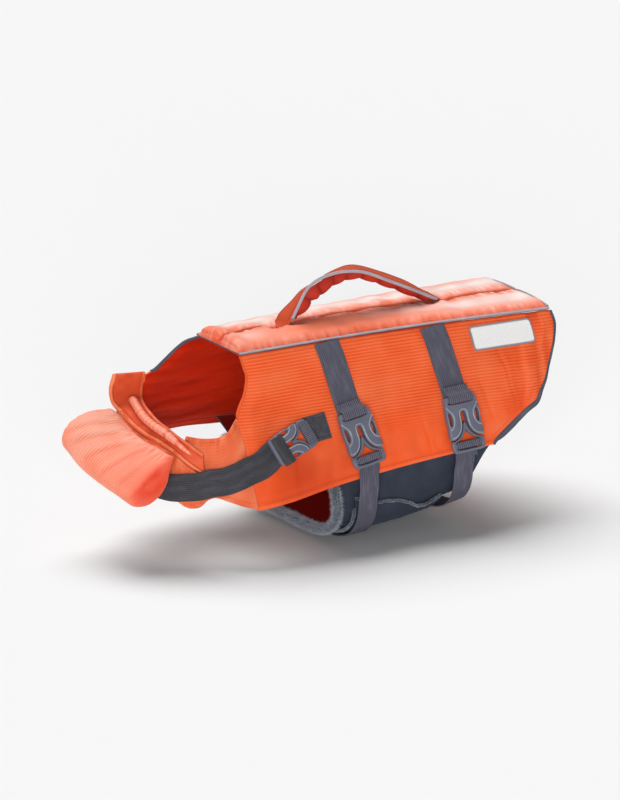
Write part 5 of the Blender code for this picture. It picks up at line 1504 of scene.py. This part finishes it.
def make_chin_float():
    """The padded roll under the dog's chin, gathered where it is sewn to the chest."""
    seam = path(CHIN_SEAM)
    tips = [row[0] for row in CHIN_ENDS[:-1]]
    stations = tips + stretch(0.07, 0.93, 40) + [1 - t for t in tips[::-1]]
    rings = []
    for t in stations:
        root, twist, nearest = seam(t), ease(t), min(t, 1 - t)
        size = read(CHIN_ENDS, nearest)
        shift = read(CHIN_ENDS, nearest, 2) * (1 if t < 0.5 else -1)
        section = np.array([(mix(a, c, twist), mix(b, d, twist)) for a, b, c, d in CHIN_SECTION])
        held = mix(section[0], section.mean(axis=0), 0.4)
        section = held * (1 - size) + section * size
        rings.append([(root.x + x, root.y + shift * size, root.z + z, t) for x, z in section])
    rings = np.array(rings)
    count, step = len(CHIN_SECTION), 12            # the section's corners, and places to each
    closed = np.concatenate([rings[:, -3:], rings, rings[:, :4]], axis=1)
    fine = spread(spread(closed, 330, 0), (count + 6) * step + 1, 1)
    fine = fine[:, 3 * step:(count + 3) * step]
    points, t = fine[..., :3], fine[..., 3]
    around = run_lengths(points, 1)
    padded = np.concatenate([points[:, -1:], points, points[:, :1]], axis=1)
    normal = unit(np.cross(np.gradient(points, axis=0), padded[:, 2:] - padded[:, :-2]))
    outward = points - points.mean(axis=1, keepdims=True)
    normal = normal * np.sign(np.sum(normal * outward))
    along, near_end = t * CHIN_LENGTH, np.minimum(t, 1 - t)
    lengthwise = run_lengths(points, 0)
    first, last = np.searchsorted(t[:, 0], (0.07, 0.93))
    along[:first] = along[first] + lengthwise[:first] - lengthwise[first]
    along[last:] = along[last] + lengthwise[last:] - lengthwise[last]
    on_top = 1 - fade(around, 74, 90) * fade(near_end, 0.02, 0.07)
    phase = along + 0.5 * grain(around / 16, along / 9, 51)
    relief = 0.24 * rib_relief(phase, CHIN_RIB_PITCH) * on_top
    gathers = grain(along / 2.6, around / 14, 52)
    at_seam = pressed(np.minimum(around, 34), 0, 10) * fade(around, 0.5, 5)
    folds = np.zeros_like(around)
    for place, lean, depth in CHIN_FOLDS:
        off = along - place - lean * around + 1.2 * grain(around / 12, 0 * around + place, 53)
        folds -= 0.7 * depth * pressed(off, 0, 2.4) - 0.4 * depth * pressed(off, 5.0, 3.4)
    folds = folds * fade(around, 2, 12) * (1 - fade(around, 46, 66))
    lumps = grain(along / 18, around / 11, 55)
    relief += 0.9 * gathers * at_seam + folds + 0.5 * lumps
    from_end = near_end * CHIN_LENGTH
    relief += 0.4 * pressed(from_end, 0, 6) * grain(around / 3.6, from_end / 12, 56)
    # Painted highlight on the crowns of the gathers, folds and lumps and shade in their hollows,
    # painted shade near the ends, most at the left end, and paler towards the right end.
    tone = -0.75 * gathers * at_seam - 0.3 * folds - 0.2 * lumps
    tone += 0.8 * pressed(t * CHIN_LENGTH, 0, 7) + 0.2 * pressed((1 - t) * CHIN_LENGTH, 0, 6)
    tone -= 0.3 * fade(t, 0.2, 0.8)
    points = points + normal * (relief * fade(near_end, 0.0, 0.03))[..., None]
    uv = np.stack([around, along], axis=-1)
    uv = np.concatenate([uv, uv[:, -1:] + (1, 0)], axis=1)
    made = loft("padded_chin_float", points, CHIN_CLOTH, 0.2, uv, tone)
    finished(made, "coral_nylon", "chin_float", fill=0.7)


# ---------------------------------------------------------------- belly

def make_fleece(name, node, lines, radius, pile, count=110):
    """A soft round edge of fleece along a wall's raw edge."""
    face, back, through, away = edge_axes(lines, count)
    centre = (face + back) / 2 + away * (radius + LAY_GAP)
    turn = turns(20)[None, :, None]
    lump = 1 + 0.08 * grain(np.arange(count)[:, None] / 3, np.arange(20)[None] / 3, 61)
    rings = centre[:, None] + ((away[:, None] * np.cos(turn) + through[:, None] * np.sin(turn))
                               * (radius * lump)[..., None])
    made = loft(name, rings, FLEECE, 0.7)
    finished(made, "grey_fleece", node, fill=0.8)
    fibres = grown(added(name + "_pile", made.data.copy()), PILE, Density=1.1e6,
                   Length=pile * METRES, Thickness=0.17 * METRES, Seed=3, Material=FLEECE_TIPS)
    finished(fibres, "grey_fleece")


def make_belly():
    def faces(along, around):
        return (belly_grid(steps(along), lambda a: steps(around), lift)
                for lift in (0, -BELLY_WALL))

    outer, inner = (dense(face, 90, 300) for face in faces(16, 60))
    uv = unrolled(outer)
    u, v = uv[..., 0], uv[..., 1]
    edge_near = np.minimum(u, u[-1] - u)
    relief = 0.5 * grain(u / 24, v / 18, 62) - 0.5 * pressed(edge_near, 5, 0.8)
    outer = raised(outer, BELLY_MIDDLE, relief)
    # The inside is given a high tone, which paints it in deep shade.
    made = shell("belly_wrap", outer, inner, uv, NEOPRENE, LINING, tone_inside=0.9)
    finished(made, "slate_neoprene", "belly_panel", flat=cut_size(outer))
    seen = raised(outer, BELLY_MIDDLE)
    stitch("belly_stitches", [seen[6, 4:-4], seen[-7, 4:-4]], "slate_neoprene", GREY_THREAD)
    lines = edge_lines(*faces(10, 36), 0, 1)
    below = [i for i, (x, y, z) in enumerate(lines[0].tolist())
             if z < read(SIDES[LEFT if y < 0 else RIGHT][1], x) - FLEECE_RADIUS - 1.5]
    make_fleece("belly_front_fleece", "belly_front_binding",
                [line[below[0]:below[-1] + 1] for line in lines], FLEECE_RADIUS, 3.2, 180)


def make_pad():
    """The padded cover on the belly panel, with a fleece edge on three sides."""
    def arounds(along):
        return stretch(*pad_edges(along), 26)

    alongs = stretch(PAD_LEFT[0][0], PAD_LEFT[-1][0], 8)
    pad = [belly_grid(alongs, arounds, lift) for lift in (PAD_REST + PAD_WALL, PAD_REST)]
    turned = [face.swapaxes(0, 1) for face in pad]
    front = [line[1:-1] for line in edge_lines(*pad, 0, 1)]
    outer, inner = (dense(face, 90, 220) for face in pad)
    uv = unrolled(outer)
    u, v = uv[..., 0], uv[..., 1]
    near = np.minimum(np.minimum(u, u[-1] - u), np.minimum(v, v[:, -1:] - v))
    relief = -1.6 * (1 - fade(near, 0, 9)) + 0.4 * grain(u / 20, v / 22, 64)
    outer = raised(outer, BELLY_MIDDLE, relief)
    made = shell("belly_pad_cover", outer, inner, uv, NEOPRENE, NEOPRENE)
    finished(made, "slate_neoprene", "belly_pad", fill=0.5)
    for word, lines in (("left", edge_lines(*turned, 0, 1)), ("right", edge_lines(*turned, -1, 1)),
                        ("front", front)):
        make_fleece("pad_fleece_" + word, "belly_pad_binding_" + word, lines,
                    PAD_BINDING_RADIUS * 0.5, 1.1)


# ---------------------------------------------------------------- belts and buckles

def make_belt(name, node, places, outs, width, wall, finish, ribs, slot="belt_webbing", count=90,
              painted_rib_shading=0.0):
    """Webbing along a line that lies on its cloth; outs point away from the cloth. Shade is painted
    between its ribs and highlight on them, as strongly as the last argument says.
    """
    section = flat_section(width, wall, ribs)
    # Painted shade between the ribs and painted highlight on them.
    across = np.cos(2 * math.pi * ribs * section[:, 0] / width)
    made = sweep(name, *finer(*axes(places, outs), count), section, finish, 0.1, painted_rib_shading * across)
    finished(made, slot, node)


def seat_line(seat, profile):
    """A line across a buckle's seat with the direction out of each stretch."""
    line = [seat.point(0, b, c) for b, c in profile]
    return line, [(after - before).cross(seat.across)
                  for before, after in zip(line[:1] + line, line[1:] + line[-1:])]


def whole_line(half):
    """An open line and its mirror image, joined on the middle line."""
    return [(-x, y) for x, y in half[:0:-1]] + list(half)


def rounded(loop, passes):
    """A closed outline with its corners cut smooth."""
    for _ in range(passes):
        cut = []
        for (ax, ay), (bx, by) in zip(loop, loop[1:] + loop[:1]):
            cut += [(mix(ax, bx, t), mix(ay, by, t)) for t in (0.25, 0.75)]
        loop = cut
    return loop


MOULDED_ROUND = 0.75         # radius of a moulding's rounded edges


def moulding(name, outline, holes, seat, out, thickness):
    """A flat moulding with rounded edges, in a buckle's seat; returns its mesh object."""
    curve = bpy.data.curves.new(name, "CURVE")
    curve.dimensions, curve.fill_mode = "2D", "BOTH"
    curve.extrude = thickness / 2 - MOULDED_ROUND
    curve.bevel_depth, curve.bevel_resolution, curve.offset = MOULDED_ROUND, 3, -MOULDED_ROUND
    for loop in [outline] + list(holes):
        points = rounded(list(loop), 1 if loop is outline else 2)
        spline = curve.splines.new("POLY")
        spline.points.add(len(points) - 1)
        for point, (x, y) in zip(spline.points, points):
            point.co = (x, y, 0, 1)
        spline.use_cyclic_u = True
    drawn = added(name + "_outline", curve)
    mesh = mesh_of(drawn)
    bpy.data.objects.remove(drawn)
    built = bmesh.new()
    built.from_mesh(mesh)
    bmesh.ops.remove_doubles(built, verts=built.verts, dist=0.001)
    bmesh.ops.recalc_face_normals(built, faces=built.faces)
    points = [seat.point(v.co.x, v.co.y, out + thickness / 2 + v.co.z) for v in built.verts]
    faces = [[v.index for v in face.verts] for face in built.faces]
    uvs = [(v.co.x, v.co.y) for face in built.faces for v in face.verts]
    built.free()
    bpy.data.meshes.remove(mesh)
    return piece(name, points, faces, uvs, [PLASTIC])


# Raised edges on the buckle's socket, right of its middle line: across, along
SLOT_RIM = ((0, 12.8), (2.5, 13.4), (3.9, 16), (4.1, 23), (4.9, 28.4), (7.2, 32.9), (11, 36.2),
            (15.6, 37.4))
WAIST_RIM = ((16.2, 8.8), (13.4, 12.2), (10.8, 15.6), (10.2, 19.4), (10.9, 24.2), (13.2, 28.2),
             (15.9, 29.6))
BUCKLE_RIMS = (("slot_rim", whole_line(SLOT_RIM)), ("waist_rim_left", mirrored(WAIST_RIM)),
               ("waist_rim_right", WAIST_RIM))


def make_rim(name, line, seat, height):
    """A low rounded ridge on a buckle's face, in a lighter plastic that paints its highlight."""
    line = [seat.point(x, y, height - 0.25) for x, y in spread(line, 60).tolist()]
    made = sweep(name, *axes(line, [seat.out] * 60), round_section(0.62, 0.75, 10), PLASTIC_HIGHLIGHT,
                 0.6)
    finished(made, "buckle_plastic")


def make_buckle(name, seat, rest):
    socket = moulding(name + "_socket_body", whole(SOCKET_HALF),
                      (SOCKET_BAR_SLOT, SOCKET_SIDE_WINDOW, mirrored(SOCKET_SIDE_WINDOW)), seat,
                      rest, SOCKET_THICKNESS)
    finished(socket, "buckle_plastic", name + "_socket")
    for word, line in BUCKLE_RIMS:
        make_rim(name + "_" + word, line, seat, rest + SOCKET_THICKNESS)
    plug = moulding(name + "_plug_body", whole(PLUG_HALF), (PLUG_TRIANGLE, PLUG_BAR_SLOT), seat,
                    rest + PLUG_RISE, PLUG_THICKNESS)
    finished(plug, "buckle_plastic", name + "_plug")


def make_fold(name, node, seat):
    """The upper belt's end, up over the socket's bar and down into its slot."""
    top = BUCKLE_REST + SOCKET_THICKNESS + 0.4
    profile = [(-9, WEBBING_WALL + BELT_REST + 0.4), (-4.5, WEBBING_WALL + BELT_REST + 1.0),
               (-1.6, top - 3.0), (-0.7, top), (4.9, top), (5.7, top - 1.2),
               (5.9, BUCKLE_REST + 1.0)]
    make_belt(name, node, *seat_line(seat, profile), WEBBING_WIDTH - 0.6, 1.0, BELT, 12, count=60,
              painted_rib_shading=0.55)


def make_loop(name, node, seat, rest, width, slot="belt_webbing", end=47.3):
    """The lower belt's turn round the plug's bar."""
    top = rest + PLUG_RISE + PLUG_THICKNESS + 0.4
    profile = [(42.0, rest + PLUG_RISE + 1.2), (42.1, top - 0.6), (43.2, top), (end - 1.4, top),
               (end - 0.1, top - 0.6), (end, rest + PLUG_RISE + 1.2)]
    make_belt(name, node, *seat_line(seat, profile), width, 0.6, BELT, 12, slot, 40, 0.7)


def make_belts():
    """The two belly belts with their buckles."""
    for belt, (piping_x, top_x, top_z, _, _, hem_x, under_x) in BELTS.items():
        seat = belt_seat(belt)
        word = belt.replace("strap_", "")
        upper = list(zip(stretch(piping_x, top_x, 12), stretch(-0.8, top_z, 12)))
        places = [on_side(x, z, LEFT, BELT_REST) for x, z in upper] + [seat.point(0, 3.2, 0.2)]
        outs = [off_side(x, z, LEFT) for x, z in upper] + [seat.out]
        make_belt(word + "_belt_upper", belt + "_upper", places, outs, WEBBING_WIDTH, WEBBING_WALL,
                  BELT, 13)
        make_fold(word + "_belt_fold", belt + "_fold", seat)
        make_loop(word + "_belt_loop", belt + "_bar_loop", seat, BUCKLE_REST,
                  LOWER_WEBBING_WIDTH + 4.6)
        make_buckle("buckle_" + word, seat, BUCKLE_REST)
        places, outs = lower_route(seat, piping_x, hem_x, under_x)
        make_belt(word + "_belt_lower", belt + "_lower", places, outs, LOWER_WEBBING_WIDTH,
                  WEBBING_WALL, BELT, 9, count=340)


def lower_route(seat, piping_x, hem_x, under_x):
    """From behind the plug over the hem, under the belly and up the right side."""
    lift = PAD_REST + PAD_WALL + 1.6
    right_hem = read(RIGHT_HEM, hem_x)
    below = on_side(hem_x, read(LEFT_HEM, hem_x) + 0.5, LEFT, 1.6)
    over = on_side(hem_x, right_hem + 1, RIGHT, 1.6)
    around_belly = []
    for around in stretch(0.105, 0.885, 20):
        x = mix(under_x, hem_x, abs(2 * around - 1) ** 3)
        along = belly_place(x, around)
        point = belly_point(along, around, lift)
        around_belly.append((point, point - belly_point(along, around)))
    start, end = around_belly[0][0], around_belly[-1][0]
    route = [(seat.point(0, 46.0, 1.2), seat.out), (seat.point(0, 52, 1.2), seat.out),
             (below, Vector((0, LEFT, 0.25)).normalized()),
             (below.lerp(start, 0.5) + Vector((0, -1.2, 0)), Vector((0, LEFT, 0.12)))]
    route += around_belly
    route += [(end.lerp(over, 0.5) + Vector((0, 1.0, 0)), Vector((0, RIGHT, 0.05))),
              (over, Vector((0, RIGHT, 0.25)).normalized())]
    for t in stretch(0.12, 1, 7):
        x, z = mix(hem_x, piping_x, t), mix(right_hem, -2.5, t)
        route.append((on_side(x, z, RIGHT, BELT_REST), off_side(x, z, RIGHT)))
    return zip(*route)


# ---------------------------------------------------------------- handle and label

def make_handle():
    """The webbing grip, the cord along its near edge and the gathered sleeve under it."""
    points, sides, lifts = finer(*zip(*handle_frames(steps(60))), 220)
    t = np.linspace(0, 1, 220)
    points[:, 2] -= 4.0 * (1 - fade(t, 0.0, 0.05)) + 4.0 * fade(t, 0.95, 1.0)
    section = flat_section(HANDLE_WIDTH, HANDLE_WALL, 10, 0.1)
    made = sweep("handle_strap", points, sides, lifts, section, HANDLE_CLOTH, 0.1)
    finished(made, "coral_nylon", "handle_webbing")
    seen = points + lifts * (HANDLE_WALL + 0.1)
    stitch("handle_stitches", [(seen + sides * hand * HANDLE_WIDTH * 0.38)[12:-12]
                               for hand in (-1, 1)], "coral_nylon", GREY_THREAD, 3.0, 2.2, 0.22)
    reach = HANDLE_WIDTH / 2 + HANDLE_PIPING_RADIUS + SEAM_GAP
    cord = round_section(*[HANDLE_PIPING_RADIUS + 0.15] * 2, 14)
    centre = points + lifts * HANDLE_WALL / 2 - sides * (reach - 0.35)
    made = sweep("handle_cord", *(line[14:-14] for line in (centre, sides, lifts)), cord, BINDING,
                 0.6)
    finished(made, "grey_binding", "handle_piping")
    make_sleeve()


def make_sleeve():
    places = stretch(HANDLE_SLEEVE[0][0], HANDLE_SLEEVE[-1][0], 80)
    half = HANDLE_WIDTH / 2 - 0.6
    section = spread([(1, 0), (1, 0.45), (0.75, 0.88), (0.25, 1), (-0.25, 1), (-0.75, 0.88),
                      (-1, 0.45), (-1, 0)], 30)
    rings = []
    for t, (point, side, lift) in zip(places, handle_frames(places)):
        depth = read(HANDLE_SLEEVE, t)
        rings.append([point + side * a * half - lift * (SLEEVE_GAP + b * depth)
                      for a, b in section.tolist()])
    rings = spread(rings, 260)
    t = np.linspace(0, 1, 260) * SLEEVE_SCALLOPS
    t = t + 0.3 * grain(t * 0.7, 0 * t, 71)
    scallop = np.abs(np.sin(math.pi * t)) ** 0.45
    top = (rings[:, :1] + rings[:, -1:]) / 2
    down = np.clip(section[:, 1], 0, 1)[None]
    size = 1 - down * (0.3 * (1 - scallop))[:, None]
    rings = top + (rings - top) * size[..., None]
    # Painted shade between the scallops and along its top under the webbing, painted highlight on
    # the scallops' crowns.
    tone = (0.8 - 0.9 * scallop)[:, None] + 0.2 * (1 - down)
    made = loft("handle_grip_sleeve", rings, SLEEVE_CLOTH, 0.3, tone=tone)
    finished(made, "coral_nylon", "handle_sleeve", fill=0.6)


LABEL_CORNER = 3.4           # radius of the patch's corners


def make_label():
    """A plain white patch with rounded corners and a grey edge line."""
    (x0, x1), (z0, z1) = LABEL_X, LABEL_Z
    corner = LABEL_CORNER
    v = np.linspace(0, 1, 48)
    from_end = np.minimum(v, 1 - v) * abs(z1 - z0)
    inset = corner - np.sqrt(np.maximum(corner ** 2 - np.maximum(corner - from_end, 0) ** 2, 0))
    u = np.linspace(0, 1, 130)[:, None]
    x = x0 + inset + (x1 - x0 - 2 * inset) * u
    z = z0 + (z1 - z0) * v[None] + 0 * u
    across = np.maximum(np.abs(x - (x0 + x1) / 2) - (x1 - x0) / 2 + corner, 0)
    down = np.maximum(np.abs(z - (z0 + z1) / 2) - abs(z1 - z0) / 2 + corner, 0)
    from_edge = corner - np.hypot(across, down)
    inside = 0.3 * fade(from_edge, 1.2, 2.0)

    def face(lift):
        return np.array([[on_side(a, b, LEFT, c) for a, b, c in zip(*row)]
                         for row in zip(x, z, lift.tolist())])

    outer = face(LAY_GAP + LABEL_WALL + 0.25 * (1 - inside / 0.3))
    inner = face(0.2 + 0 * x)
    tone = 1 - fade(from_edge, 1.0, 1.5)
    made = shell("side_label", outer, inner, np.stack([x, z], axis=-1), LABEL, LABEL, tone=tone)
    finished(made, "label_white", "label_patch")


# ---------------------------------------------------------------- neck belt

def make_neck_belt(chest, flap):
    """The belt from the chest panel's right end round to its buckle on the left side."""
    seat = neck_seat()
    scale = 1 / NECK_BUCKLE_SIZE
    rest = (NECK_BELT_REST + NECK_BELT_WALL + 0.9) * scale
    make_buckle("buckle_neck", seat, rest)
    make_loop("neck_belt_loop", "neck_belt_bar_loop", seat, rest, LOWER_WEBBING_WIDTH + 1.5,
              "dark_webbing", 52.6)
    places = [on_grid(chest, u, v) for u, v in BELT_ON_CHEST]
    places += [on_grid(flap, u, v) for u, v in BELT_ON_FLAP]
    places += [(on_side(x, z, LEFT), off_side(x, z, LEFT)) for x, z in BELT_ON_SIDE]
    lifts = [NECK_BELT_OVER_CHEST] * len(BELT_ON_CHEST) + [NECK_BELT_REST] * 6
    route = path([point + out * lift for (point, out), lift in zip(places, lifts)]
                 + [seat.point(0, b, NECK_BELT_REST * scale) for b in (4, 14)])
    outs = path([out for _, out in places] + [seat.out, seat.out])
    make_belt("neck_belt_run", "neck_belt", [route(t) for t in steps(36)],
              [outs(t).normalized() for t in steps(36)], WEBBING_WIDTH, NECK_BELT_WALL, DARK_BELT,
              13, "dark_webbing", 200)
    top = rest + SOCKET_THICKNESS + 0.5
    roll = spread([(2.2, top), (1.0, top + 2.2), (2.6, top + 4.6), (6.0, top + 5.6),
                   (10.0, top + 5.4), (13.6, top + 4.0), (14.8, top + 2.0), (13.4, top)], 40)
    half = WEBBING_WIDTH / 2 * scale
    rings = [[seat.point(across * half, b + 1, c) for b, c in roll.tolist()]
             for across in np.linspace(-1.2, 0.95, 12).tolist()]
    made = loft("neck_belt_folded_end", rings, DARK_BELT, 0.08)
    finished(made, "dark_webbing", "neck_belt_roll")
    make_neck_patch(seat)


PATCH_TURN = 0.26            # the patch is sewn on a little askew from the belt
PATCH_RAISE = 2.0


def make_neck_patch(seat):
    """The belt's far end, sewn flat on the left side with a crossed box."""
    reach = LOWER_WEBBING_WIDTH * 0.58 / NECK_BUCKLE_SIZE
    outer, inner = [], []
    start = PATCH_FROM + 5.5
    for along in stretch(0, PATCH_TO - PATCH_FROM - 4, 16):
        row = [seat.point(PATCH_RAISE - PATCH_TURN * along + 0.97 * across * reach,
                          start + 0.97 * along + PATCH_TURN * across * reach, 0)
               for across in stretch(-1, 1, 8)]
        outer.append([on_side(p.x, p.z, LEFT, LAY_GAP + WEBBING_WALL) for p in row])
        inner.append([on_side(p.x, p.z, LEFT, 0.2) for p in row])
    outer, inner = dense(outer, 90, 70), dense(inner, 90, 70)
    uv = unrolled(outer)
    outer = raised(outer, PATCH_MIDDLE, 0.12 * rib_relief(uv[..., 1], 1.9))
    made = shell("neck_belt_sewn_patch", outer, inner, uv, PATCH_BELT)
    finished(made, "dark_webbing", "neck_belt_patch")
    seen = raised(outer, PATCH_MIDDLE, 0.2)
    low, high, left, right = 8, 61, 34, 80       # the sewn box's rows and columns of the patch
    slanted = [[seen[int(mix(left, right, t)), int(mix(a, b, t))] for t in np.linspace(0, 1, 40)]
               for a, b in ((low, high), (high, low))]
    box = [seen[left:right, low], seen[left:right, high], seen[left, low:high],
           seen[right, low:high]]
    stitch("neck_belt_stitches", slanted + box, "dark_webbing", BLACK_THREAD, 2.2, 1.7, 0.24)


# ---------------------------------------------------------------- studio

def look_at(made, target):
    made.rotation_euler = (Vector(target) - made.location).to_track_quat("-Z", "Y").to_euler()


VIEW_TURN, VIEW_HEIGHT = math.radians(-31.4), math.radians(16.65)
VIEW_MIDDLE = (-0.0629, 0.0, -0.0713)
VIEW_DISTANCE = 9.0
VIEW_LENS = 448.0
FLOOR_REACH = 40.0
FLOOR_COLOUR = (0.90, 0.90, 0.90, 1)
SKY_COLOUR, SKY_STRENGTH = (1, 1, 1, 1), 0.11
FLOOR_DROP = 0.001           # under the lowest point of the part
SUN_DISTANCE = 2.0           # where the lights are drawn; their light doesn't depend on it


def make_camera():
    camera = added("camera", bpy.data.cameras.new("camera"))
    away = Vector((math.sin(VIEW_TURN) * math.cos(VIEW_HEIGHT),
                   -math.cos(VIEW_TURN) * math.cos(VIEW_HEIGHT), math.sin(VIEW_HEIGHT)))
    camera.location = Vector(VIEW_MIDDLE) + away * VIEW_DISTANCE
    look_at(camera, VIEW_MIDDLE)
    camera.data.lens, camera.data.sensor_width, camera.data.clip_end = VIEW_LENS, 36.0, 50
    bpy.context.scene.camera = camera


def make_sun(name, toward, strength, softness):
    """Even, soft light from one side; `toward` points from the jacket to the light."""
    light = bpy.data.lights.new(name, "SUN")
    light.energy = strength
    light.angle = math.radians(softness)
    made = added(name, light)
    made.location = Vector(toward).normalized() * SUN_DISTANCE
    look_at(made, (0, 0, 0))


def make_studio():
    mesh = bpy.data.meshes.new("floor")
    corners = [(x * FLOOR_REACH, y * FLOOR_REACH, CAD_BOX[0][2] - FLOOR_DROP)
               for x, y in ((-1, -1), (1, -1), (1, 1), (-1, 1))]
    mesh.from_pydata(corners, [], [(0, 1, 2, 3)])
    paint = bpy.data.materials.new("pale_floor")
    paint.use_nodes = True
    shader = paint.node_tree.nodes["Principled BSDF"]
    for label, value in (("Base Color", FLOOR_COLOUR), ("Roughness", 1.0),
                         ("Specular IOR Level", 0.0)):
        shader.inputs[label].default_value = value
    mesh.materials.append(paint)
    added("floor", mesh)
    world = bpy.data.worlds.new("studio")
    world.use_nodes = True
    sky = world.node_tree.nodes["Background"].inputs
    sky["Color"].default_value, sky["Strength"].default_value = SKY_COLOUR, SKY_STRENGTH
    bpy.context.scene.world = world
    make_sun("top_light", (0.03, 0.44, 0.90), 2.92, 48)
    make_sun("front_light", (-0.55, -0.83, 0.10), 2.5, 30)
    bpy.context.scene.view_settings.view_transform = "Standard"


# ---------------------------------------------------------------- making

def main():
    make_camera()
    make_studio()
    make_back()
    left, right = make_side(LEFT, "left"), make_side(RIGHT, "right")
    make_pipings()
    make_side_bindings(left, right)
    flap = make_flap(left[0])
    make_collar()
    make_throat_roll()
    chest = make_chest(right[0])
    make_chin_float()
    make_belly()
    make_pad()
    make_belts()
    make_handle()
    make_label()
    make_neck_belt(chest, flap)


main()
